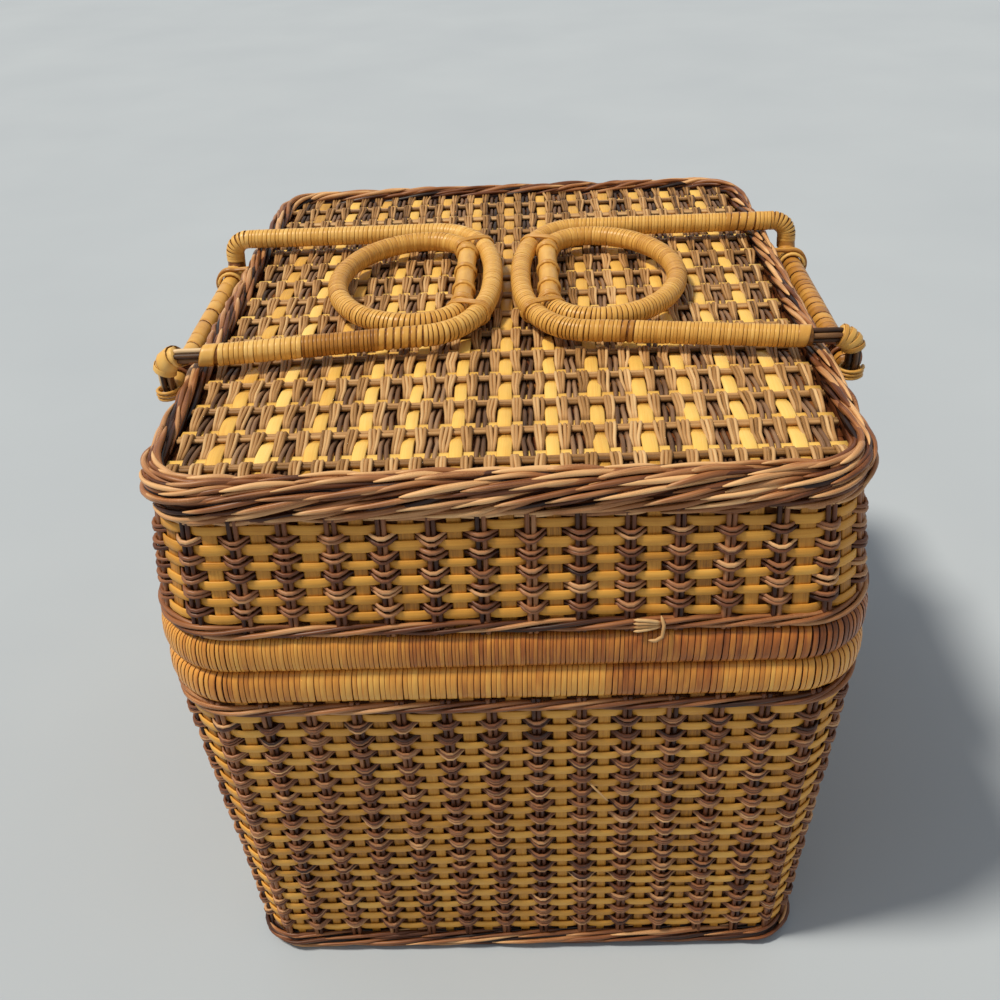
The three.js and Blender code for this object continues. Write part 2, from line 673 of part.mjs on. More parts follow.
// Lid
place('lid_wall', wallShell(LID_WALL), 'splint');
place('lid_stakes', stakeCage(LID_WALL), 'reed');
addRim('lid', LID_SEAT, 1);
place('lid_top_border', lidBorder(), 'reed');
place('lid_top_lattice', lidLattice(), 'splint');

// Rear hinges
for (const [name, side] of [['left', -1], ['right', 1]]) {
  const x = (side * HINGE_SPACING) / 2;
  place(`${name}_body_hinge`, bodyHinge(x), 'reed');
  place(`${name}_lid_hinge`, lidHinge(x), 'reed');
}

// Handles
const gripX = seatedGripX();
addHandle('left', -1, gripX);
addHandle('right', 1, gripX);

export default basket;
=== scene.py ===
"""Wicker picnic hamper: every strand of its weave, borders, rims and handles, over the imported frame."""
import logging
import math
from dataclasses import dataclass, field
from enum import Enum, IntEnum

import bpy
import numpy as np
from mathutils import Matrix, Vector


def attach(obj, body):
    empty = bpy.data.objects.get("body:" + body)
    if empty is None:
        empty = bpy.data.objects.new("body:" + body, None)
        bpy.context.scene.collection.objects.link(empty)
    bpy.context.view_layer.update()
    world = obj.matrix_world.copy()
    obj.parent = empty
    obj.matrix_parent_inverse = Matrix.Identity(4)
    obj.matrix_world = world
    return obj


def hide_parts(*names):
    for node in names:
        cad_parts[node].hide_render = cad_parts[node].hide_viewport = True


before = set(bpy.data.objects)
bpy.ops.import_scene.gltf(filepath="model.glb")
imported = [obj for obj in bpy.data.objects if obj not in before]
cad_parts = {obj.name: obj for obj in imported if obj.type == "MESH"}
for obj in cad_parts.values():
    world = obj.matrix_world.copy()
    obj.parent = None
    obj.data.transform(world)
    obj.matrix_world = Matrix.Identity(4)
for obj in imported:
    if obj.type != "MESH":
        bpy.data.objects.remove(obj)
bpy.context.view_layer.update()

LOG = logging.getLogger("hamper")
MM = 0.001
RIGHT, BACK, UP = np.eye(3)
Array = np.ndarray
Triple = tuple[float, float, float]


class Side(Enum):
    """Left or right half of the hamper, with the sign of its X."""

    LEFT = -1
    RIGHT = 1

    @property
    def prefix(self) -> str:
        """Name that the side's pieces start with."""
        return self.name.lower()


class Axis(Enum):
    """Way in which a strand of a flat weave runs."""

    FRONT_TO_BACK = 0
    LEFT_TO_RIGHT = 1


class Number(IntEnum):
    """First tone number of each kind of strand, so that the kinds hardly share tones."""

    REED_ROWS = 40
    INNER_ROWS = 200
    INNER_STAKES = 240
    SPLINT_STAKES = 300
    REED_STAKES = 500
    TOP_RODS = 600
    CROSS_SPLINTS = 640
    TOP_SPLINTS = 660
    DULL_REEDS = 680
    FINE_REEDS = 720


# Finishes


def linear(code: str) -> tuple[float, float, float, float]:
    """Turns an sRGB hex colour into linear light.

    Args:
        code: Colour such as "#C8A060".

    Returns:
        Linear red, green, blue and an alpha of 1.
    """
    parts = [int(code[i:i + 2], 16) / 255 for i in (1, 3, 5)]
    return tuple(c / 12.92 if c <= 0.04045 else ((c + 0.055) / 1.055) ** 2.4 for c in parts) + (1.0,)


def bare_tree(owner: bpy.types.Material | bpy.types.World) -> bpy.types.NodeTree:
    """Gives a material or world an empty node tree.

    Args:
        owner: Material or world.

    Returns:
        Its tree.
    """
    owner.use_nodes = True
    owner.node_tree.nodes.clear()
    return owner.node_tree


def add(tree: bpy.types.NodeTree, kind: str, values: dict | None = None, links: dict | None = None,
        **settings: object) -> bpy.types.Node:
    """Adds one node with its settings, values and links.

    Args:
        tree: Node tree that gets the node.
        kind: Node type.
        values: Values by input name or number.
        links: Source sockets by input name or number.
        **settings: Properties of the node itself.

    Returns:
        The new node.
    """
    node = tree.nodes.new(kind)
    for key, value in settings.items():
        setattr(node, key, value)
    for key, value in (values or {}).items():
        node.inputs[key].default_value = value
    for key, source in (links or {}).items():
        tree.links.new(source, node.inputs[key])
    return node


# Noise units from one strand to the next, so that neighbours share neither fibres nor spots.
FIBRE_SHIFT = 7.3
MOTTLE_SHIFT = 3.1
# Noise units per millimetre across a strand: a spot reaches right over it.
MOTTLE_ACROSS = 0.08
# Places of the dark and middle colours between the deepest and the lightest.
DARK_AT = 0.3
MIDDLE_AT = 0.6
# Refractive index of cane with its varnish, and how strongly its fibres stand out.
CANE_IOR = 1.46
FIBRE_BUMP = 0.6


@dataclass(frozen=True)
class CaneFinish:
    """Rattan, reed or cane: fibres run along each strand, and every strand has its own tone.

    A mesh's strand values are the place along and across a strand in millimetres, and its tone number.
    """

    name: str
    deep: str
    dark: str
    middle: str
    light: str
    spread: float = 0.5
    mottle: float = 0.35
    mottle_mm: float = 22.0
    fibre: float = 0.3
    fibre_width_mm: float = 0.7
    fibre_run_mm: float = 30.0
    roughness: float = 0.5
    gloss_change: float = 0.14
    relief_mm: float = 0.12
    specular: float = 0.4

    def material(self) -> bpy.types.Material:
        """Makes the material, or finds the one already made.

        Returns:
            The material.
        """
        made = bpy.data.materials.get(self.name)
        if made:
            return made
        made = bpy.data.materials.new(self.name)
        tree = bare_tree(made)
        strand = add(tree, "ShaderNodeAttribute", attribute_name="strand")
        tone = add(tree, "ShaderNodeAttribute", attribute_name="tone")
        place = strand.outputs["Vector"]
        number = add(tree, "ShaderNodeSeparateXYZ", links={0: place}).outputs["Z"]
        own = add(tree, "ShaderNodeTexWhiteNoise", links={"W": number}, noise_dimensions="1D")
        fibre_lay = (1 / self.fibre_run_mm, 1 / self.fibre_width_mm, FIBRE_SHIFT)
        mottle_lay = (1 / self.mottle_mm, MOTTLE_ACROSS, MOTTLE_SHIFT)
        patterns = []
        for lay, detail, rough in ((fibre_lay, 3.0, 0.6), (mottle_lay, 2.0, 0.5)):
            laid = add(tree, "ShaderNodeVectorMath", {1: lay}, {0: place}, operation="MULTIPLY")
            noise = add(tree, "ShaderNodeTexNoise", {"Scale": 1.0, "Detail": detail, "Roughness": rough},
                        {"Vector": laid.outputs[0]})
            patterns.append(noise.outputs["Fac"])
        fibres, mottle = patterns
        level = add(tree, "ShaderNodeMath", {1: 0.5}, {0: tone.outputs["Fac"]}, operation="ADD")
        changes = ((own.outputs["Value"], self.spread / 2), (mottle, self.mottle), (fibres, self.fibre))
        for source, size in changes:
            swing = add(tree, "ShaderNodeMath", {1: 2 * size, 2: -size}, {0: source},
                        operation="MULTIPLY_ADD")
            level = add(tree, "ShaderNodeMath", links={0: level.outputs[0], 1: swing.outputs[0]},
                        operation="ADD")
        ramp = add(tree, "ShaderNodeValToRGB", links={"Fac": level.outputs[0]})
        stops = ramp.color_ramp.elements
        stops[0].color, stops[1].color = linear(self.deep), linear(self.light)
        for position, code in ((DARK_AT, self.dark), (MIDDLE_AT, self.middle)):
            stops.new(position).color = linear(code)
        polish = self.roughness - self.gloss_change / 2
        gloss = add(tree, "ShaderNodeMath", {1: self.gloss_change, 2: polish}, {0: fibres},
                    operation="MULTIPLY_ADD")
        bump = add(tree, "ShaderNodeBump", {"Strength": FIBRE_BUMP, "Distance": self.relief_mm * MM},
                   {"Height": fibres})
        shader = add(tree, "ShaderNodeBsdfPrincipled",
                     {"IOR": CANE_IOR, "Specular IOR Level": self.specular},
                     {"Base Color": ramp.outputs["Color"], "Roughness": gloss.outputs[0],
                      "Normal": bump.outputs["Normal"]})
        add(tree, "ShaderNodeOutputMaterial", links={"Surface": shader.outputs["BSDF"]})
        return made


# Flat rattan splint of the walls, peeled and varnished: amber gold, satin, with faint long fibres.
SPLINT = CaneFinish(
    "flat_rattan_splint", "#6A4010", "#C08430", "#E0A546", "#F2C062", spread=0.3, mottle=0.24, fibre=0.24,
    fibre_width_mm=0.9, roughness=0.44)
# Splint of the lid's top: a paler, yellower copy of the wall splint, painted light for the brightly lit
# top; the brightest thing on the hamper.
TOP_SPLINT_PAINTED_LIGHT = CaneFinish(
    "bleached_rattan_splint", "#8E6224", "#DCA950", "#F3C868", "#FFE08C", spread=0.3, mottle=0.2, fibre=0.2,
    fibre_width_mm=0.9, roughness=0.46)
# Round reed of the walls, stained plum-brown and varnished: worn to tan on its bows, with a satin streak.
REED = CaneFinish(
    "stained_round_reed", "#2C120A", "#6C3F28", "#9C6845", "#DDAF7C", spread=0.5, mottle=0.3, mottle_mm=30,
    fibre=0.26, fibre_width_mm=0.6, roughness=0.4)
# Fine reed over the lid's top: sun-bleached khaki tan, duller than the walls.
FINE_REED = CaneFinish(
    "bleached_fine_reed", "#43290F", "#936B3C", "#C09562", "#E2BE8A", spread=0.5, mottle=0.28, mottle_mm=26,
    fibre=0.28, fibre_width_mm=0.5, roughness=0.5)
# Reed pairs between them: the same stain gone grey-brown, and darker as painted shade because they lie
# lower.
DULL_SHADED_REED = CaneFinish(
    "weathered_reed_painted_shade", "#2A190C", "#6C4D35", "#967457", "#BC9A74", spread=0.5, mottle=0.3, mottle_mm=26,
    fibre=0.26, fibre_width_mm=0.6, roughness=0.52)
# Reed of the rolled borders and bands: redder and darker, with pale ends where the stain wore off.
BORDER_REED = CaneFinish(
    "border_round_reed", "#200C05", "#683A20", "#A46C42", "#E8BA84", spread=0.46, mottle=0.34, mottle_mm=34,
    fibre=0.3, fibre_width_mm=0.6, roughness=0.4)
# Narrow glossy cane wound over the rims: amber to red-brown turns, with painted shade in the grooves
# between them.
RIM_CANE = CaneFinish(
    "wound_rim_cane", "#3E1606", "#AA622A", "#DC9842", "#F8C868", spread=0.11, mottle=0.2, fibre=0.26,
    fibre_width_mm=0.6, fibre_run_mm=18, roughness=0.34)
# Narrow cane wound over the handles: golden, polished by hands, with dark lines between the turns.
HANDLE_CANE = CaneFinish(
    "wound_handle_cane", "#6C3C12", "#BC8438", "#E0AE58", "#FAD586", spread=0.14, mottle=0.2, fibre=0.24,
    fibre_width_mm=0.6, fibre_run_mm=18, roughness=0.36)
# Split rattan inside the rims and on the walls' inner side: dull red-brown that closes the weave's gaps.
HOOP_RATTAN = CaneFinish(
    "split_rattan_hoop", "#3A1608", "#743E1C", "#965E2C", "#BC8A4C", spread=0.4, roughness=0.6)
# Bare core reeds at the handle hinges: weathered brown with pale bleached streaks.
CORE_REED = CaneFinish(
    "bare_core_reed", "#1E1008", "#54361F", "#8A6540", "#E2C79E", spread=0.6, mottle=0.36, fibre=0.4,
    fibre_width_mm=0.8, roughness=0.45)


# Strands


# Share of a splint's width that keeps its full thickness between the thin edges.
SPLINT_CROWN = 0.82


def flat_section(width: float, thickness: float) -> Array:
    """Section of a flat splint with thin edges, as (across, out) points."""
    w, c, t = width / 2, width / 2 * SPLINT_CROWN, thickness / 2
    return np.array([(w, 0), (c, t), (-c, t), (-w, 0), (-c, -t), (c, -t)])


def round_section(diameter: float, sides: int = 6) -> Array:
    """Section of a round reed, as (across, out) points."""
    turn = 2 * np.pi * np.arange(sides) / sides
    return np.stack([np.cos(turn), np.sin(turn)], -1) * diameter / 2


def unit(vectors: Array) -> Array:
    """Vectors of length 1."""
    return vectors / np.maximum(np.linalg.norm(vectors, axis=-1, keepdims=True), 1e-9)


def distances(path: Array) -> Array:
    """Distance of each point from the path's start, along it."""
    return np.concatenate([[0], np.cumsum(np.linalg.norm(np.diff(path, axis=0), axis=1))])


def step(value: Array, start: float, end: float) -> Array:
    """Smooth step from 0 at the start to 1 at the end."""
    t = np.clip((value - start) / (end - start), 0, 1)
    return t * t * (3 - 2 * t)


def squared(wave: Array, power: float) -> Array:
    """Sine or cosine that a power under 1 draws towards a square's."""
    return np.sign(wave) * np.abs(wave) ** power


def place_object(name: str, data: bpy.types.ID) -> bpy.types.Object:
    """Puts a new object into the scene.

    Args:
        name: Its name.
        data: Its mesh, lamp or camera.

    Returns:
        The object.
    """
    made = bpy.data.objects.new(name, data)
    bpy.context.scene.collection.objects.link(made)
    return made


@dataclass
class StrandMesh:
    """Gathers swept strands into one mesh, with each point's place on its strand and its tone."""

    name: str
    points: list[Array] = field(default_factory=list)
    quads: list[Array] = field(default_factory=list)
    strands: list[Array] = field(default_factory=list)
    tones: list[Array] = field(default_factory=list)
    count: int = 0

    def sweep(self, path: Array, across: Array, out: Array, section: Array, number: float | Array = 0.0,
              tone: float | Array = 0.0, scale: Array | None = None, edge_tone: Array | None = None,
              closed: bool = False) -> None:
        """Sweeps a section along a path.

        Args:
            path: Points of the centre line, in millimetres.
            across: Direction of the section's first axis at each point.
            out: Direction of the section's second axis at each point.
            section: Closed outline with an even number of (across, out) points.
            number: Tone number that gives the strand its own tone, for all points or each.
            tone: Lighter or darker, for all points or each.
            scale: Size of the section at each point, one factor or (across, out).
            edge_tone: Lighter or darker round the section.
            closed: Whether the end joins the start.
        """
        n, m = len(path), len(section)
        edge = np.zeros(m) if edge_tone is None else edge_tone
        ahead = path[min(n - 1, n // 2 + 1)] - path[n // 2 - 1]
        if np.dot(np.cross(across[n // 2], out[n // 2]), ahead) < 0:
            section, edge = section[::-1], edge[::-1]
        grid = np.broadcast_to(section[None], (n, m, 2))
        if scale is not None:
            grid = grid * np.broadcast_to(scale.reshape(n, -1), (n, 2))[:, None, :]
        points = path[:, None] + across[:, None] * grid[..., :1] + out[:, None] * grid[..., 1:]
        numbers = np.broadcast_to(np.asarray(number, float), (n,))
        places = np.broadcast_arrays(distances(path)[:, None], distances(section)[None], numbers[:, None])
        tones = np.broadcast_to(np.asarray(tone, float), (n,))[:, None] + edge[None]
        index = self.count + np.arange(n * m).reshape(n, m)
        rows, following = (index, np.roll(index, -1, 0)) if closed else (index[:-1], index[1:])
        corners = [rows, np.roll(rows, -1, 1), np.roll(following, -1, 1), following]
        self.quads.append(np.stack(corners, -1).reshape(-1, 4))
        if not closed:
            for k in range(1, m // 2):
                cap = [k - 1, k, m - 1 - k, m - k]
                self.quads += [index[0][cap[::-1]][None], index[-1][cap][None]]
        self.points.append(points.reshape(-1, 3))
        self.strands.append(np.stack(places, -1).reshape(-1, 3))
        self.tones.append(tones.reshape(-1))
        self.count += n * m

    def build(self, finish: CaneFinish, body: str, slot: str, *nodes: str) -> None:
        """Makes the mesh object, dresses it and lets it ride on a body.

        Args:
            finish: Finish of the strands.
            body: Body that the piece moves with.
            slot: Material slot of the record; not used.
            *nodes: Nodes of the frame that the piece stands for.
        """
        quads = np.concatenate(self.quads).astype(np.int32)
        mesh = bpy.data.meshes.new(self.name)
        mesh.vertices.add(self.count)
        mesh.vertices.foreach_set("co", (np.concatenate(self.points) * MM).astype(np.float32).ravel())
        mesh.loops.add(quads.size)
        mesh.loops.foreach_set("vertex_index", quads.ravel())
        mesh.polygons.add(len(quads))
        mesh.polygons.foreach_set("loop_start", np.arange(0, quads.size, 4, dtype=np.int32))
        mesh.update(calc_edges=True)
        mesh.polygons.foreach_set("use_smooth", np.ones(len(quads), bool))
        places = mesh.attributes.new("strand", "FLOAT_VECTOR", "POINT")
        places.data.foreach_set("vector", np.concatenate(self.strands).astype(np.float32).ravel())
        tones = mesh.attributes.new("tone", "FLOAT", "POINT")
        tones.data.foreach_set("value", np.concatenate(self.tones).astype(np.float32))
        mesh.materials.append(finish.material())
        piece = place_object(self.name, mesh)
        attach(piece, body)
        if nodes:
            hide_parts(*nodes)
        LOG.info("%s: %d strand faces on %s", self.name, len(quads), body)


# Points nearer than this, in millimetres, count as one.
SAME_PLACE = 1e-6
# Rise of a direction over which it counts as upright.
UPRIGHT = 0.9


@dataclass
class Rail:
    """Centre line in space with a turning frame, addressed by the distance along it."""

    points: Array
    closed: bool = False
    length: float = field(init=False)
    marks: Array = field(init=False)
    frames: Array = field(init=False)

    def __post_init__(self) -> None:
        """Works out the distances and carries the frame along."""
        path = np.vstack([self.points, self.points[:1]]) if self.closed else self.points
        apart = np.linalg.norm(np.diff(path, axis=0), axis=1) > SAME_PLACE
        path = path[np.concatenate([[True], apart])]
        self.points, self.marks = path, distances(path)
        self.length = float(self.marks[-1])
        ahead = unit(np.gradient(path, axis=0))
        if self.closed:
            ahead[0] = ahead[-1] = unit(path[1] - path[-2])
        normal = UP if abs(ahead[0][2]) < UPRIGHT else BACK
        rows = []
        for direction in ahead:
            normal = unit(normal - direction * normal.dot(direction))
            rows.append([direction, normal, np.cross(direction, normal)])
        self.frames = np.array(rows)

    def between(self, values: Array, distance: Array) -> Array:
        """Values at distances along the rail, from those at its marks."""
        return np.stack([np.interp(distance, self.marks, column) for column in values.T], -1)

    def at(self, distance: Array) -> tuple[Array, Array, Array, Array]:
        """Places along the rail.

        Args:
            distance: Distances from its start.

        Returns:
            Points, directions, and the frame's two other axes.
        """
        d = np.mod(distance, self.length) if self.closed else np.clip(distance, 0, self.length)
        axes = (unit(self.between(self.frames[:, k], d)) for k in range(3))
        return self.between(self.points, d), *axes


def corner_arc(before: Array, corner: Array, after: Array, radius: float, steps: int = 8) -> Array:
    """Rounds the corner between three points.

    Args:
        before: Point that the line comes from.
        corner: Sharp corner.
        after: Point that the line goes to.
        radius: Radius of the arc.
        steps: Pieces that the arc is made of.

    Returns:
        Points of the arc.
    """
    inward, outward = unit(before - corner), unit(after - corner)
    half = math.acos(float(np.clip(inward.dot(outward), -1, 1))) / 2
    centre = corner + unit(inward + outward) * radius / math.sin(half)
    first = corner + inward * radius / math.tan(half) - centre
    axis = Vector(np.cross(outward, inward)).normalized()
    turns = [Matrix.Rotation((math.pi - 2 * half) * k / steps, 3, axis) for k in range(steps + 1)]
    return np.array([turn @ Vector(first) for turn in turns]) + centre


@dataclass(frozen=True)
class WrapZone:
    """Stretch of a wound rod: where it ends, its pitch, the share of it that cane covers, and its tone."""

    end: float
    pitch: float
    cover: float
    tone: float


Zones = tuple[WrapZone, ...]
# Section of a wound strip in widths and millimetres: a flat crown whose edges drop into the grooves.
STRIP = np.array([(-0.5, -0.4), (0.5, -0.4), (0.42, -0.05), (0.3, 0.02), (-0.3, 0.02), (-0.42, -0.05)])
# Painted shade on the strip's edges, darkest where they drop into the grooves between turns.
STRIP_EDGE_SHADE = np.array([-0.48, -0.48, -0.05, 0.03, 0.03, -0.05])
# How turns differ: in pitch, in how far they stand out, and in tone.
TURN_PITCH = (0.76, 1.24)
TURN_SWELL = 0.009
TURN_TONE = 0.035
# Width over pitch of a turn that covers all of it, and how far apart the turns' tone numbers are.
TURN_LAP = 1.02
TURN_NUMBER = 1.7
# Share of a pitch that has to be left in a stretch for one more turn.
LAST_TURN = 0.4
# Painted shade on what lies in the grooves under a winding, and on a border's core under its reeds.
UNDER_SHADE = -0.45
# Thickness of a reed's drawn-out tip over that of its middle.
THIN_TIP = 0.2


def turn_marks(zones: Zones, rng: np.random.Generator) -> tuple[Array, Array, Array]:
    """Lays out the turns of a winding.

    Args:
        zones: Its stretches.
        rng: Seeded source of irregularity.

    Returns:
        Where each turn starts and the last one ends, each turn's cover and each turn's tone.
    """
    marks, covers, tones, at = [], [], [], 0.0
    for zone in zones:
        while at < zone.end - zone.pitch * LAST_TURN:
            marks.append(at)
            covers.append(zone.cover)
            tones.append(zone.tone + rng.normal(0, TURN_TONE))
            at += zone.pitch * rng.uniform(*TURN_PITCH)
    marks.append(zones[-1].end)
    return np.array(marks), np.array(covers), np.array(tones)


def wind(mesh: StrandMesh, rail: Rail, radius: float, zones: Zones, rng: np.random.Generator,
         steps: int = 14, oval: float = 1.0, power: float = 2.0) -> None:
    """Winds a strip of cane round a rail, turn beside turn.

    Args:
        mesh: Mesh that gets the strip.
        rail: Line that the strip is wound round.
        radius: Distance from the rail to the strip's crown.
        zones: Stretches of the winding.
        rng: Seeded source of irregularity.
        steps: Points in one turn.
        oval: Height of the section over its width.
        power: 2 for an ellipse, more for a squarer section.
    """
    marks, covers, tones = turn_marks(zones, rng)
    turns = len(marks) - 1
    whole = np.arange(turns * steps + 1) / steps
    which = np.minimum(whole.astype(int), turns - 1)
    point, ahead, first, second = rail.at(np.interp(whole, np.arange(turns + 1), marks))
    angle = 2 * np.pi * whole - np.pi / 2
    reach = radius * (1 + rng.normal(0, TURN_SWELL, turns)[which])
    u, v = (squared(wave, 2 / power) * reach for wave in (np.cos(angle), np.sin(angle)))
    path = point + second * u[:, None] + first * (v * oval)[:, None]
    out = unit(second * np.cos(angle)[:, None] + first * (np.sin(angle) / oval)[:, None])
    width = np.diff(marks)[which] * covers[which] * TURN_LAP
    mesh.sweep(path, ahead, out, STRIP, which * TURN_NUMBER + 0.3, tones[which],
               np.stack([width, np.ones_like(width)], -1), STRIP_EDGE_SHADE)


def tube(mesh: StrandMesh, rail: Rail, radius: float | Array, samples: int, number: float,
         tone: float | Array, sides: int = 10, oval: tuple[float, float] = (1.0, 1.0)) -> None:
    """Sweeps a plain rod along a rail, closed if the rail is.

    Args:
        mesh: Mesh that gets the rod.
        rail: Its middle.
        radius: Its radius, for all samples or each.
        samples: Points along it.
        number: Tone number.
        tone: Lighter or darker, for all samples or each.
        sides: Points round it.
        oval: Factors of the radius across and out.
    """
    point, _, first, second = rail.at(np.linspace(0, rail.length, samples, endpoint=not rail.closed))
    section = round_section(2.0, sides) * np.array(oval)
    mesh.sweep(point, second, first, section, number, tone, np.full(samples, radius), closed=rail.closed)


def strand(mesh: StrandMesh, points: Array, diameter: float, number: float, tone: float = 0.0,
           sides: int = 6, samples: int | None = None, tips: float = 0.0) -> None:
    """Sweeps one round reed along points.

    Args:
        mesh: Mesh that gets the reed.
        points: Its middle.
        diameter: Its thickness.
        number: Tone number.
        tone: Lighter or darker.
        sides: Points round it.
        samples: Points along it, if not as many as given.
        tips: Length over which each end is drawn thin.
    """
    rail = Rail(points)
    count = samples or len(points)
    at = np.linspace(0, rail.length, count)
    point, _, first, second = rail.at(at)
    size = np.ones(count)
    if tips > 0:
        size = THIN_TIP + (1 - THIN_TIP) * np.clip(np.minimum(at, rail.length - at) / tips, 0, 1)
    mesh.sweep(point, second, first, round_section(diameter, sides), number, tone, size)


@dataclass(kw_only=True)
class Wicker:
    """Part of the hamper with its own seeded irregularity."""

    seed: int
    rng: np.random.Generator = field(init=False)

    def __post_init__(self) -> None:
        """Starts the part's random draws."""
        self.rng = np.random.default_rng(self.seed)


# Form of the hamper


@dataclass(frozen=True)
class Outline:
    """Rounded rectangle round the hamper, walked from the front's middle, at an inset from the rims."""

    half_x: float = 147.0
    half_y: float = 190.0
    corner: float = 46.0
    reference: float = 10.0

    def knots(self) -> tuple[Array, Array, Array, Array]:
        """Works out the ends of the sides and corners.

        Returns:
            Distances, centre X, centre Y and normal angles.
        """
        hx, hy, arc = self.half_x, self.half_y, math.pi / 2 * (self.corner - self.reference)
        runs = [0, hx, arc, 2 * hy, arc, 2 * hx, arc, 2 * hy, arc, hx]
        x = [0, hx, hx, hx, hx, -hx, -hx, -hx, -hx, 0]
        y = [-hy, -hy, -hy, hy, hy, hy, hy, -hy, -hy, -hy]
        angles = np.array([-1, -1, 0, 0, 1, 1, 2, 2, 3, 3]) * math.pi / 2
        return np.cumsum(runs), np.array(x), np.array(y), angles

    @property
    def length(self) -> float:
        """Length once round at the reference inset."""
        return float(self.knots()[0][-1])

    def at(self, distance: Array, inset: Array | float) -> tuple[Array, Array, Array]:
        """Places on the outline.

        Args:
            distance: Distance round from the front's middle, at the reference inset.
            inset: Inset from the rims' outside.

        Returns:
            Points with no height, outward normals and directions.
        """
        marks, x, y, angles = self.knots()
        d = np.mod(distance, marks[-1])
        angle = np.interp(d, marks, angles)
        reach = self.corner - np.asarray(inset, float)
        c, s, none = np.cos(angle), np.sin(angle), np.zeros_like(angle)
        point = np.stack([np.interp(d, marks, x) + reach * c, np.interp(d, marks, y) + reach * s, none], -1)
        return point, np.stack([c, s, none], -1), np.stack([-s, c, none], -1)

    def rail(self, inset: float, z: float, samples: int) -> Rail:
        """Closed rail round the hamper, from the back's middle."""
        point, _, _ = self.at((np.arange(samples) / samples + 0.5) * self.length, inset)
        return Rail(point + UP * z, closed=True)


OUTLINE = Outline()
STAKES = 64
STAKE_PITCH = OUTLINE.length / STAKES
# Where a row's points lie, by their distance from a stake. Outside, the last is half way to the next stake.
SPLINT_KNOTS = np.array([-9.8, -6.6, -3.0, 3.0, 6.6, 9.8, STAKE_PITCH / 2])
REED_KNOTS = np.array([-9.4, -8.0, -6.5, -4.5, -1.6, 1.6, 4.5, 6.5, 8.0, 9.4, STAKE_PITCH / 2])
INNER_KNOTS = np.array([-8.5, -3.5, 3.5, 8.5])


def round_trip(knots: Array, start: float) -> tuple[Array, Array]:
    """Lays a row's points once round the hamper.

    Args:
        knots: Their distances from a stake.
        start: First stake, 0 for the splint stakes and 0.5 for the reed stakes between them.

    Returns:
        Distances round the hamper, and each point's distance from its stake.
    """
    stakes = (np.arange(STAKES) + start) * STAKE_PITCH
    return (stakes[:, None] + knots).ravel(), np.tile(knots, STAKES)


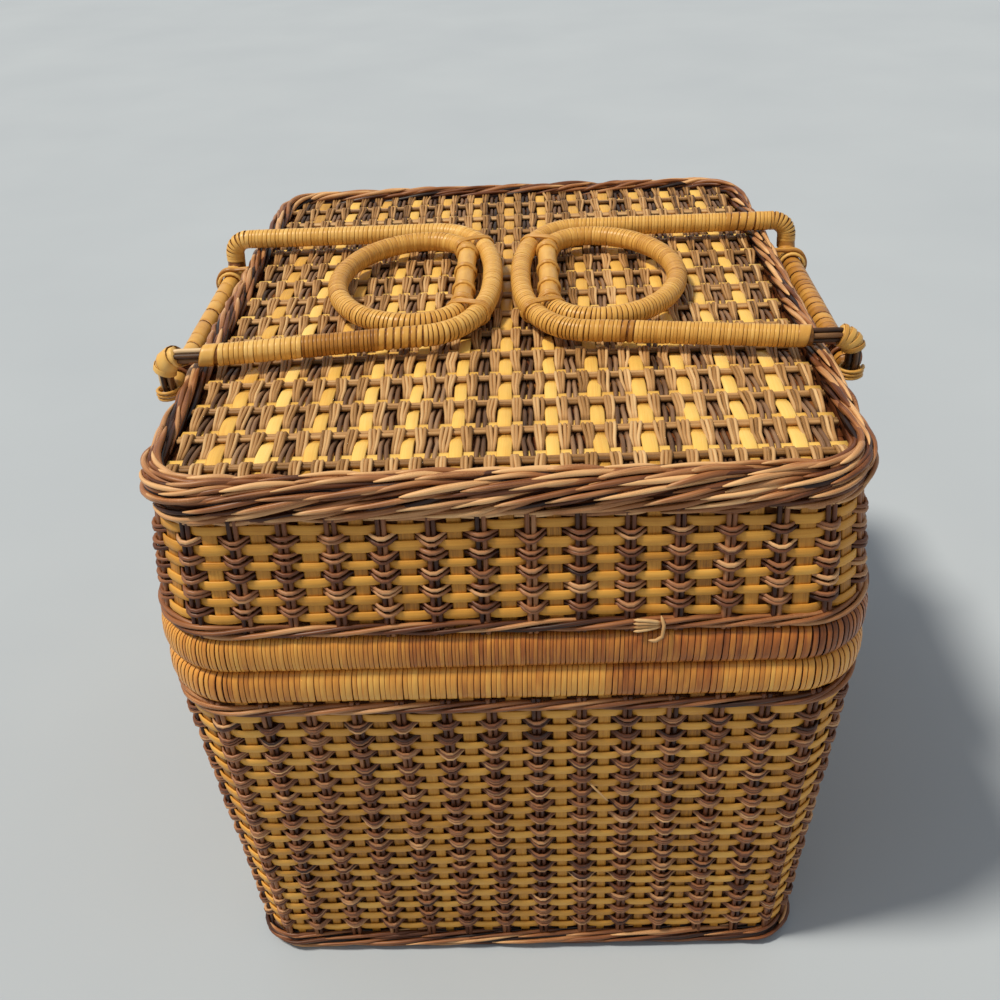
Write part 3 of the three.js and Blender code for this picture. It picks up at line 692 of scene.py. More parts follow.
@dataclass(kw_only=True)
class WovenWall(Wicker):
    """Wall in plain weave: flat splints and groups of round reeds pass over and under upright stakes.

    Splint stakes and reed-pair stakes take turns. Splint rows pass over the splint stakes, and reed rows
    bow out over the reed stakes. What ends in "out" is a distance out from the wall's face.
    """

    prefix: str
    body: str
    node: str
    low: float
    high: float
    low_inset: float
    high_inset: float
    first_row: float
    row_pitch: float
    rows: int
    row_tone: float
    foot: float
    head: float
    splint_width: float
    stake_width: tuple[float, float]
    reed: float
    reed_gap: float
    reed_lanes: tuple[float, ...]
    reed_pieces: int
    splint_thickness: float = 1.2
    splint_out: float = -0.8
    splint_lift: float = 1.6
    splint_over: tuple[float, float] = (11.2, 5.0)
    reed_out: float = -2.4
    reed_bow: float = 5.6
    reed_sag: float = 2.0
    reed_rise: float = 0.8
    bow_reach: float = 9.6
    bow_crest: float = 2.0
    stake_out: float = -0.6
    rod: float = 2.8
    rod_out: float = 0.95
    rod_lanes: tuple[float, float] = (-1.5, 1.5)
    inner_out: tuple[float, float] = (-4.2, -5.6)
    inner_stake_out: float = -4.9
    inner_stake: float = 9.0

    def place(self, distance: Array, z: Array | float, out: Array) -> tuple[Array, Array, Array, Array]:
        """Finds points at a height and a distance out from the wall's face.

        Args:
            distance: Distance round the hamper.
            z: Height.
            out: Distance out from the face.

        Returns:
            Points, outward directions, upward directions and directions round the hamper.
        """
        z = np.broadcast_to(np.asarray(z, float), np.shape(distance))
        slope = (self.high_inset - self.low_inset) / (self.high - self.low)
        inset = self.low_inset + slope * (np.clip(z, self.low, self.high) - self.low)
        point, normal, ahead = OUTLINE.at(distance, inset)
        facing, rising = unit(normal + UP * slope), unit(UP - normal * slope)
        return point + UP * z[:, None] + facing * np.asarray(out)[:, None], facing, rising, ahead

    def each(self, middle: float, size: float, knots: Array) -> Array:
        """Random value of each stake, repeated for its points."""
        return np.repeat(self.rng.normal(middle, size, STAKES), len(knots))

    def ripple(self, distance: Array, size: float) -> Array:
        """Draws a slow random change along a row, the same at its end as at its start.

        Args:
            distance: Distances round the hamper.
            size: How large the change is.

        Returns:
            The change at each distance.
        """
        values = self.rng.normal(0, size, STAKES)
        values = (values + np.roll(values, 1) + np.roll(values, -1)) / 1.7
        return np.interp(distance, np.arange(STAKES + 1) * STAKE_PITCH, np.append(values, values[0]))

    def splint_rows(self) -> None:
        """Builds the flat stiff rows that lie over the splint stakes and behind the reed stakes."""
        mesh = StrandMesh(f"{self.prefix}_splint_rows")
        distance, offset = round_trip(SPLINT_KNOTS, 0)
        over = step(np.abs(offset), *self.splint_over)
        for row in range(self.rows):
            out = self.splint_out + (self.splint_lift + self.each(0, 0.22, SPLINT_KNOTS)) * over
            z = self.first_row + row * self.row_pitch + self.ripple(distance, 0.4)
            point, facing, rising, _ = self.place(distance, z, out)
            section = flat_section(self.splint_width * self.rng.uniform(0.9, 1.08), self.splint_thickness)
            size = 1 + self.ripple(distance, 0.05)
            # Painted shade: rows are darkened where they pass behind the reed stakes.
            tone = self.row_tone - 0.22 * (1 - over) + self.each(0, 0.05, SPLINT_KNOTS)
            mesh.sweep(point, rising, facing, section, row + self.seed, tone,
                       np.stack([size, np.ones_like(size)], -1), closed=True)
        mesh.build(SPLINT, self.body, "splint", self.node)

    def reed_row(self, mesh: StrandMesh, row: int) -> None:
        """Builds one row of reeds that bow out over the reed stakes and pass behind the splint stakes.

        Args:
            mesh: Mesh that gets the reeds.
            row: Number of the splint row under it.
        """
        distance, offset = round_trip(REED_KNOTS, 0.5)
        hump, dip = (step(np.abs(offset), self.bow_reach, crest) for crest in (self.bow_crest, 0.0))
        z = self.first_row + (row + 0.5) * self.row_pitch + self.reed_rise + self.ripple(distance, 0.35)
        bow = self.each(self.reed_bow, 0.25, REED_KNOTS)
        sag = self.each(self.reed_sag, 0.6, REED_KNOTS)
        gap = self.each(self.reed_gap, 0.1 * self.reed_gap, REED_KNOTS)
        for lane in self.reed_lanes:
            out = self.reed_out + (bow + self.each(0, 0.15, REED_KNOTS)) * hump
            height = z + lane * gap - (sag + self.each(0, 0.35, REED_KNOTS)) * dip
            height += self.each(0, 0.15, REED_KNOTS)
            point, facing, rising, _ = self.place(distance, height, out)
            # Painted shade: reeds are darkened where they dive behind the splint stakes, off their bows.
            tone = self.each(0.04, 0.15, REED_KNOTS) - 0.16 * (1 - hump)
            mesh.sweep(point, rising, facing, round_section(self.reed),
                       row * 3 + lane + self.seed + Number.REED_ROWS, tone,
                       1 + self.each(0, 0.08, REED_KNOTS), closed=True)

    def reed_rows(self) -> None:
        """Builds the reed rows, shared out over a few pieces."""
        for piece, rows in enumerate(np.array_split(np.arange(self.rows - 1), self.reed_pieces)):
            mesh = StrandMesh(f"{self.prefix}_reed_rows_{piece}")
            for row in rows:
                self.reed_row(mesh, row)
            mesh.build(REED, self.body, "reed")

    def stakes(self) -> None:
        """Builds the upright splints and reed pairs."""
        flat, rods = (StrandMesh(f"{self.prefix}_{kind}_stakes") for kind in ("splint", "reed"))
        z = np.linspace(self.foot, self.head, 16)
        ends, level = [self.foot, self.head], np.ones_like(z)
        taper = np.interp(z, [self.low, self.high], self.stake_width) / self.stake_width[1]
        for k in range(STAKES):
            lean = np.interp(z, ends, self.rng.normal(0, 0.35, 2))
            point, facing, _, ahead = self.place(k * STAKE_PITCH + lean, z, self.stake_out * level)
            section = flat_section(self.stake_width[1] * self.rng.uniform(0.9, 1.06), self.splint_thickness)
            # Painted shade: the splint stakes, behind the rows, are darkened.
            flat.sweep(point, ahead, facing, section, k + self.seed + Number.SPLINT_STAKES, -0.2,
                       np.stack([taper, level], -1))
            for lane in self.rod_lanes:
                lean = np.interp(z, ends, self.rng.normal(0, 0.3, 2))
                at = (k + 0.5) * STAKE_PITCH + lane + lean
                point, facing, _, ahead = self.place(at, z, self.rod_out * level)
                number = k + lane / 4 + self.seed + Number.REED_STAKES
                # Painted shade: the reed stakes, under the rows' bows, are darkened.
                rods.sweep(point, ahead, facing, round_section(self.rod), number,
                           self.rng.normal(-0.2, 0.1))
        flat.build(SPLINT, self.body, "splint")
        rods.build(REED, self.body, "reed")

    def lining(self) -> None:
        """Builds the inner side: dark flat rows, edge to edge, over and under dark flat stakes."""
        mesh = StrandMesh(f"{self.prefix}_inner_rows")
        distance, _ = round_trip(INNER_KNOTS, 0)
        stake = np.repeat(np.arange(STAKES), len(INNER_KNOTS))
        section = flat_section(self.row_pitch * 1.16, 0.9)
        count = math.ceil((self.high - self.low) / self.row_pitch) + 1
        for row, z in enumerate(np.linspace(self.low, self.high, count)):
            out = np.where((stake + row) % 2 == 0, *self.inner_out)
            point, facing, rising, _ = self.place(distance, z, out)
            mesh.sweep(point, rising, facing, section, row + self.seed + Number.INNER_ROWS, closed=True)
        z = np.linspace(self.foot, self.head, 12)
        level = np.ones_like(z)
        for k in range(STAKES):
            point, facing, _, ahead = self.place(k * STAKE_PITCH * level, z, self.inner_stake_out * level)
            mesh.sweep(point, ahead, facing, flat_section(self.inner_stake, 0.6),
                       k + self.seed + Number.INNER_STAKES)
        mesh.build(HOOP_RATTAN, self.body, "splint")

    def dress(self) -> None:
        """Builds all strands of the wall."""
        self.splint_rows()
        self.reed_rows()
        self.stakes()
        self.lining()


@dataclass(kw_only=True)
class TwinedBand(Wicker):
    """Three reeds twisted round each other along a wall beside its rim."""

    wall: WovenWall
    z: float
    node: str
    strands: int = 3
    twist_mm: float = 74.0
    overlap: float = 0.62
    tip: float = 0.14
    swing: float = 2.3
    out: float = 1.7
    weave: float = 1.3
    diameter: float = 3.0

    def dress(self) -> None:
        """Builds the twisted reeds."""
        mesh = StrandMesh(f"{self.wall.prefix}_twined_band")
        turns = round(OUTLINE.length / self.twist_mm)
        share = np.linspace(-self.overlap, self.overlap, 22)
        angle = 2 * np.pi * share
        size = np.clip((self.overlap - np.abs(share)) / self.tip, 0, 1) * 0.65 + 0.35
        for run in range(turns):
            for k in range(self.strands):
                at = (run + k / self.strands + share) * OUTLINE.length / turns
                z = self.z + self.swing * np.sin(angle / 1.3) + self.rng.normal(0, 0.3)
                out = self.out + self.weave * np.cos(angle / 1.1) + self.rng.normal(0, 0.2)
                point, facing, rising, _ = self.wall.place(at, z, out)
                section = round_section(self.diameter * self.rng.uniform(0.85, 1.1))
                mesh.sweep(point, rising, facing, section, run * 5 + k + self.seed,
                           self.rng.normal(-0.02, 0.14), size)
        mesh.build(BORDER_REED, self.wall.body, "reed", self.node)


@dataclass(kw_only=True)
class RolledBorder(Wicker):
    """Rolled border: short spindles of reed lie slantwise round a core, in lanes and two layers.

    Lanes and rise are angles round the roll in degrees, up from the outside.
    """

    name: str
    body: str
    node: str
    inset: float
    z: float
    radius: tuple[float, float]
    lanes: tuple[float, ...]
    pitch_mm: float
    run_mm: float
    rise: float
    diameter: float
    tone: float
    floor: float
    sink: float = 3.2
    lane_shift: float = 0.38
    front_lift_y: tuple[float, float] = (-140.0, -215.0)

    def spindle(self, mesh: StrandMesh, start: float, first: float, sunk: float, number: float) -> None:
        """Lays one reed slantwise on the roll, with a pale tip over the one before.

        Args:
            mesh: Mesh that gets the reed.
            start: Distance round the hamper where its tip lies.
            first: Angle round the roll of its tip.
            sunk: Depth under the outer layer.
            number: Tone number.
        """
        rng, share = self.rng, np.linspace(0, 1, 15)
        at = start + share * self.run_mm * rng.uniform(0.75, 1.3)
        angle = np.radians(first + rng.normal(self.rise, 8) * share + rng.normal(0, 6))
        wander = np.interp(share, np.linspace(0, 1, 5), rng.normal(0, 0.35, 5))
        depth = self.diameter * 0.2 + sunk + self.sink * step(share, 0.3, 1.0) + wander
        point, normal, _ = OUTLINE.at(at, self.inset)
        out = unit(normal * np.cos(angle)[:, None] + UP * np.sin(angle)[:, None])
        point = point + normal * ((self.radius[0] - depth) * np.cos(angle))[:, None]
        thick = self.diameter * rng.uniform(0.72, 1.12)
        height = self.z + (self.radius[1] - depth) * np.sin(angle)
        point[:, 2] = np.maximum(height, self.floor + thick * 0.5)
        across = unit(np.cross(np.gradient(point, axis=0), out))
        # Lighter at the front than at the sides and back.
        front_lift = 0.16 * step(point[:, 1], *self.front_lift_y) - 0.12
        # Painted shade: reeds of the under layer, and each reed's tail where it sinks under the next, are
        # darker; the tip is paler.
        tone = rng.normal(self.tone - 0.3 * sunk, 0.15) + front_lift
        tone = tone + 0.28 * step(share, 0.26, 0.0) - 0.24 * step(share, 0.4, 1.0)
        size = 0.2 + 0.8 * np.sin(np.pi * share) ** 0.55
        mesh.sweep(point, across, out, round_section(thick, 6 if sunk else 8), number, tone, size)

    def dress(self) -> None:
        """Builds the core and the lanes of slanting reeds."""
        mesh = StrandMesh(self.name)
        core = tuple(radius - self.diameter * 1.2 for radius in self.radius)
        tube(mesh, OUTLINE.rail(self.inset, self.z, 240), 1.0, 240, 3.0, UNDER_SHADE, sides=12, oval=core)
        count = round(OUTLINE.length / self.pitch_mm)
        for lane, first in enumerate(self.lanes):
            for k in range(count):
                for layer in (0.0, 0.5):
                    turn = (k + layer + self.lane_shift * lane) / count
                    start = turn * OUTLINE.length + self.rng.normal(0, 2.5)
                    self.spindle(mesh, start, first + layer * self.rise, layer * self.sink,
                                 100 * lane + k + layer + self.seed)
        mesh.build(BORDER_REED, self.body, "reed", self.node)


# Stretches of the rims' windings: share of the way round from the back's middle past the left to the front,
# the winding's tone there and the width of its turns.
BODY_TURNS = (
    (0, 0, 3.2), (0.36, 0.02, 3.2), (0.42, 0.06, 3.0), (0.47, 0.14, 3.0), (0.546, 0.2, 3.0),
    (0.552, -0.17, 3.2), (0.572, -0.12, 3.4), (0.58, 0.1, 3.4), (0.66, 0.2, 3.4), (1, 0, 3.2))
LID_TURNS = (
    (0, 0, 3.0), (0.36, 0.06, 2.4), (0.455, 0.1, 2.3), (0.475, -0.08, 2.0), (0.55, -0.16, 2.2),
    (0.56, -0.24, 3.8), (0.63, -0.22, 3.8), (0.7, 0, 3.0), (1, 0, 3.0))


@dataclass(kw_only=True)
class BoundRim(Wicker):
    """Rim of split hoops with narrow cane wound over them, turn beside turn."""

    prefix: str
    body: str
    z: float
    stretches: tuple[Triple, ...]
    inset: float = 6.6
    half_width: float = 6.6
    half_height: float = 11.0
    squareness: float = 2.5
    cane: float = 0.7
    hoop_oval: float = 1.62

    def dress(self) -> None:
        """Builds the hoops' core and the winding."""
        rail = OUTLINE.rail(self.inset, self.z, 480)
        core, winding = (StrandMesh(f"{self.prefix}_rim_{kind}") for kind in ("hoops", "winding"))
        # Painted shade: the hoops under the winding are darkened.
        tube(core, rail, self.half_width - self.cane, 240, 1.0, -0.2, sides=14, oval=(1.0, self.hoop_oval))
        hoops = (f"{self.prefix}_{side}_hoop" for side in ("outer", "inner"))
        core.build(HOOP_RATTAN, self.body, "hoop_rattan", *hoops)
        zones, at = [], 0.0
        shares, tones, widths = np.array(self.stretches).T
        while at < rail.length:
            at = min(at + self.rng.uniform(18, 50), rail.length)
            tone, turn = (float(np.interp(at / rail.length, shares, values)) for values in (tones, widths))
            turn *= self.rng.uniform(0.9, 1.1)
            zones.append(WrapZone(at, turn, 1.0, tone + self.rng.normal(0, TURN_TONE)))
        wind(winding, rail, self.half_width, tuple(zones), self.rng, steps=18,
             oval=self.half_height / self.half_width, power=self.squareness)
        winding.build(RIM_CANE, self.body, "rim_cane", f"{self.prefix}_rim_binding")


# Height of the lid top's strands over the rods' middle, by the distance in front of a rod.
STRAP_RISE = ((0, 2.5), (3, 2.1), (9, 0.8), (16, -0.3), (20, -1.6), (25, -1.5), (28, 1.2), (30, 2.5))
SPLINT_RISE = ((0, -2.3), (4, -1.8), (8, -0.3), (13, 0.4), (21, 0.7), (25, 0.2), (28, -1.6), (30, -2.3))
REED_RISE = ((0, -2.8), (4, -2.2), (9, -0.6), (14, 0.3), (22, 0.9), (26, 0.0), (28, -1.8), (30, -2.8))


@dataclass(frozen=True)
class TopStrand:
    """Front-to-back strand of the lid's top: its section, heights, and how far its group draws together."""

    section: Array
    rise: tuple[tuple[float, float], ...]
    draw: float = 1.0


@dataclass(kw_only=True)
class LidTop(Wicker):
    """Woven top: rods in pairs run across, splints and reeds run front to back over and under them."""

    seed: int = 71
    z: float = 364.4
    half_x: float = 171.0
    half_y: float = 215.0
    column: float = 24.5
    row: float = 30.0
    first_rod: float = -202.0
    rods: int = 14
    columns: int = 13
    rod: float = 2.7
    rod_lanes: tuple[float, ...] = (-1.35, 1.35)
    cross_splint: tuple[float, float] = (6.2, 1.0)
    splint_behind: float = 7.2
    splint_under: float = -0.9
    splint_width: tuple[float, float] = (6.4, 8.6)
    splint_thickness: float = 1.2
    dull_reed: float = 2.6
    dull_lanes: tuple[float, ...] = (-1.7, 1.7)
    fine_reed: float = 2.15
    fine_lanes: tuple[float, ...] = (-2.1, 0.0, 2.1)
    fine_draw: float = 0.62
    end_drop: float = 2.0
    end_run: float = 9.0
    back_shade_y: tuple[float, float] = (-130.0, 200.0)

    @property
    def knots(self) -> int:
        """Places from front to back between which a strand sways."""
        return 2 * self.rods + 1

    def lengthwise(self, mesh: StrandMesh, kind: TopStrand, x: float, number: float, tone: float,
                   sway: Array, lane: float = 0.0) -> None:
        """Builds one front-to-back strand.

        Args:
            mesh: Mesh that gets the strand.
            kind: Its form.
            x: Place of its group across the lid.
            number: Tone number.
            tone: Lighter or darker.
            sway: Sideways shifts at even steps from front to back.
            lane: Place beside the middle of its group.
        """
        y = np.linspace(-self.half_y, self.half_y, 151)
        ahead_of_rod = np.mod(self.first_rod - y, self.row)
        z = self.z + np.interp(ahead_of_rod, *np.array(kind.rise).T)
        pull = np.interp(ahead_of_rod, [0, 4, 19, 25, 30], [1, 1, kind.draw, kind.draw, 1])
        shift = np.interp(y, np.linspace(-self.half_y, self.half_y, len(sway)), sway)
        z = z - self.end_drop * step(np.abs(y), self.half_y - self.end_run, self.half_y)
        point = np.stack([x + shift + lane * pull, y, z], -1)
        across = np.broadcast_to(RIGHT, point.shape)
        out = unit(np.cross(across, np.gradient(point, axis=0)))
        # Painted shade: strands are darkened where they dip below the rods' middle, and towards the back,
        # where less light falls.
        shade = tone - 0.3 * step(z - self.z, -0.2, -1.8) + 0.04 - 0.21 * step(y, *self.back_shade_y)
        mesh.sweep(point, across, out, kind.section, number, shade)

    def crosswise(self, mesh: StrandMesh, y: float, z: float, section: Array, number: float,
                  tone: float) -> None:
        """Builds one left-to-right strand that wanders a little.

        Args:
            mesh: Mesh that gets the strand.
            y: Place from front to back.
            z: Height over the rods' middle.
            section: Its section.
            number: Tone number.
            tone: Lighter or darker.
        """
        x = np.linspace(-self.half_x, self.half_x, 61)
        sway = np.interp(x, np.linspace(-self.half_x, self.half_x, 12), self.rng.normal(0, 0.45, 12))
        point = np.stack([x, y + sway, np.full(61, self.z + z)], -1)
        across, out = (np.broadcast_to(axis, point.shape) for axis in (BACK, UP))
        mesh.sweep(point, across, out, section, number, tone)

    def across_strands(self) -> None:
        """Builds the rod pairs and the splints behind them."""
        rods, flat = (StrandMesh(f"lid_top_{name}") for name in ("rods", "cross_splints"))
        for k in range(self.rods):
            for lane in self.rod_lanes:
                self.crosswise(rods, self.first_rod + k * self.row + lane, 0, round_section(self.rod),
                               k + lane / 9 + Number.TOP_RODS, self.rng.normal(-0.02, 0.08))
        for k in range(-1, self.rods):
            y = self.first_rod + k * self.row + self.splint_behind
            if abs(y) < self.half_y - 6:
                self.crosswise(flat, y, self.splint_under, flat_section(*self.cross_splint),
                               k + Number.CROSS_SPLINTS, 0.06)
        rods.build(FINE_REED, "lid", "reed")
        flat.build(TOP_SPLINT_PAINTED_LIGHT, "lid", "splint")

    def dress(self) -> None:
        """Builds the cross strands, then the splints, dull reeds and fine reeds over and under them."""
        self.across_strands()
        rng, half = self.rng, (self.columns - 1) // 2
        kinds = ("splints", "fine_reeds", "dull_reeds")
        flat, fine, dull = (StrandMesh(f"lid_top_{kind}") for kind in kinds)
        for k in range(-half, half + 1):
            section = flat_section(rng.uniform(*self.splint_width), self.splint_thickness)
            self.lengthwise(flat, TopStrand(section, SPLINT_RISE), k * self.column, k + Number.TOP_SPLINTS,
                            rng.normal(0.08, 0.05), rng.normal(0, 0.4, self.knots))
        pair = TopStrand(round_section(self.dull_reed), REED_RISE)
        for k in range(-half, half + 2):
            sway = rng.normal(0, 0.5, self.knots)
            for lane in self.dull_lanes:
                # Painted shade: the reed pairs, which lie lower, are darkened a little more.
                self.lengthwise(dull, pair, (k - 0.5) * self.column, k + lane / 9 + Number.DULL_REEDS,
                                rng.normal(-0.08, 0.1), sway + rng.normal(0, 0.3, self.knots), lane)
        strap = TopStrand(round_section(self.fine_reed), STRAP_RISE, self.fine_draw)
        for k in range(-2 * half - 1, 2 * half + 3):
            sway = rng.normal(0, 0.7, self.knots)
            for lane in self.fine_lanes:
                self.lengthwise(fine, strap, (k - 0.5) * self.column / 2, k + lane / 9 + Number.FINE_REEDS,
                                rng.normal(0.05, 0.1), sway + rng.normal(0, 0.3, self.knots), lane)
        flat.build(TOP_SPLINT_PAINTED_LIGHT, "lid", "splint", "lid_top_lattice")
        fine.build(FINE_REED, "lid", "reed")
        dull.build(DULL_SHADED_REED, "lid", "reed")


@dataclass(kw_only=True)
class FlatMat(Wicker):
    """Close plain weave of flat splints: the bottom of the body, or the ground under the lid's top."""

    name: str
    body: str
    finish: CaneFinish
    nodes: tuple[str, ...]
    z: float
    half_x: float
    half_y: float
    rise: float
    thickness: float
    tone: float
    long_pitch: float = 12.7
    cross_pitch: float = 10.4
    cover: float = 0.97
    flat_half: float = 2.6

    def way(self, mesh: StrandMesh, way: Axis, places: Array, others: Array, pitch: float) -> None:
        """Builds the splints that run one way.

        Args:
            mesh: Mesh that gets them.
            way: Way in which they run.
            places: Where they lie.
            others: Where the splints that they cross lie.
            pitch: Distance from one to the next.
        """
        lengthwise = way is Axis.FRONT_TO_BACK
        sideways = RIGHT if lengthwise else BACK
        reach = self.half_y if lengthwise else self.half_x
        flats = np.sort(np.concatenate([others - self.flat_half, others + self.flat_half]))
        run = np.concatenate([[-reach], flats, [reach]])
        nearest = np.abs(run[:, None] - others).argmin(1)
        section = flat_section(pitch * self.cover, self.thickness)
        for k, place in enumerate(places):
            z = self.z + np.where((nearest + k + way.value) % 2 == 0, self.rise, -self.rise)
            side = np.full(run.shape, place) + self.rng.normal(0, 0.25)
            point = np.stack([side, run, z] if lengthwise else [run, side, z], -1)
            across, out = (np.broadcast_to(axis, point.shape) for axis in (sideways, UP))
            mesh.sweep(point, across, out, section, k + 40 * way.value + self.seed,
                       self.rng.normal(self.tone, 0.05))

    def dress(self) -> None:
        """Builds both ways of the weave."""
        mesh = StrandMesh(self.name)
        columns, rows = int(2 * self.half_x / self.long_pitch), int(2 * self.half_y / self.cross_pitch)
        xs = (np.arange(columns) - (columns - 1) / 2) * self.long_pitch
        ys = (np.arange(rows) - (rows - 1) / 2) * self.cross_pitch
        self.way(mesh, Axis.FRONT_TO_BACK, xs, ys, self.long_pitch)
        self.way(mesh, Axis.LEFT_TO_RIGHT, ys, xs, self.cross_pitch)
        mesh.build(self.finish, self.body, "splint", *self.nodes)


@dataclass(kw_only=True)
class WornSpots:
    """Wear on the front: a frayed tie on the lid's band and a broken reed end on the body's wall."""

    body: WovenWall
    lid: WovenWall
    tie_at: float = 70.0
    tie_rise: float = 5.4
    tie_fibres: int = 4
    tie_spacing: float = 1.9
    end_at: float = 44.0
    end_row: float = 11.9

    @staticmethod
    def bit(mesh: StrandMesh, wall: WovenWall, places: tuple[Triple, ...], diameter: float,
            number: float) -> None:
        """Lays one short reed through places on a wall.

        Args:
            mesh: Mesh that gets it.
            wall: Wall that it lies on.
            places: Distances round the hamper, heights and distances out.
            diameter: Its thickness.
            number: Tone number.
        """
        point, _, _, _ = wall.place(*np.array(places).T)
        strand(mesh, point, diameter, number, 0.22, samples=16, tips=2.0)

    def dress(self) -> None:
        """Builds the tie's fibres with its hooked end, then the broken end."""
        tie, at, z = StrandMesh("lid_frayed_tie"), self.tie_at, self.lid.low + self.tie_rise
        for k in range(self.tie_fibres):
            rise = (k - (self.tie_fibres - 1) / 2) * self.tie_spacing
            fibre = ((at - 7, z + 1.2 * rise, 5.0), (at, z + 0.9 * rise + 0.6, 5.6),
                     (at + 7, z + 0.4 * rise, 4.2))
            self.bit(tie, self.lid, fibre, 1.9, 3.0 + k)
        hook = ((at + 7, z + 5, 4.0), (at + 8.4, z, 5.6), (at + 7.5, z - 6, 6.4), (at + 4, z - 8.4, 6.8),
                (at + 0.5, z - 8, 6.6))
        self.bit(tie, self.lid, hook, 2.0, 9.0)
        tie.build(FINE_REED, "lid", "reed")
        broken, at = StrandMesh("body_broken_end"), self.end_at
        z = self.body.first_row + self.end_row * self.body.row_pitch
        end = ((at - 3, z + 3.0, 1.8), (at, z, 3.6), (at + 8, z - 9.5, 5.6))
        self.bit(broken, self.body, end, 1.4, 5.0)
        broken.build(FINE_REED, "basket_body", "reed")


# Stretches of the handle rods' windings, as worn and mended: the distance from the front arm's end where
# each ends, or back from the rod's other end where it isn't over 0, then pitch, cover and tone.
ROD_TURNS = {
    Side.LEFT: (
        (8, 8, 1.0, 0.22), (34, 2.6, 1.0, 0.22), (57, 3.0, 1.0, 0.18), (99, 2.2, 1.0, -0.28),
        (128, 4.2, 0.8, 0.0), (300, 2.6, 0.97, 0.1), (-186, 2.8, 1.0, 0.16), (0, 17.0, 1.0, 0.08)),
    Side.RIGHT: (
        (9, 9, 1.0, 0.08), (99, 2.2, 1.0, 0.04), (107, 4.0, 0.8, -0.3), (180, 2.5, 1.0, -0.02),
        (340, 2.6, 0.97, 0.03), (440, 2.4, 1.0, 0.1), (462, 5.0, 0.9, -0.06), (-186, 2.4, 1.0, 0.03),
        (0, 8.0, 1.0, -0.2)),
}
# Stretches of the grip rings' windings, by the share of the wound span: end, pitch and tone.
RING_TURNS = ((0.3, 2.5, 0.0), (0.6, 2.3, -0.06), (1.0, 2.6, 0.05))
# Tones of the bare reeds round each front hinge, and turns and tone of the sleeve on their elbow.
BARE_TONES = {Side.LEFT: (-0.2, 0.42, -0.2, 0.3, -0.1), Side.RIGHT: (0.0, -0.25, 0.05, -0.1, -0.2)}
SLEEVE_TURNS = {Side.LEFT: (1.4, 0.24), Side.RIGHT: (4, 0.06)}


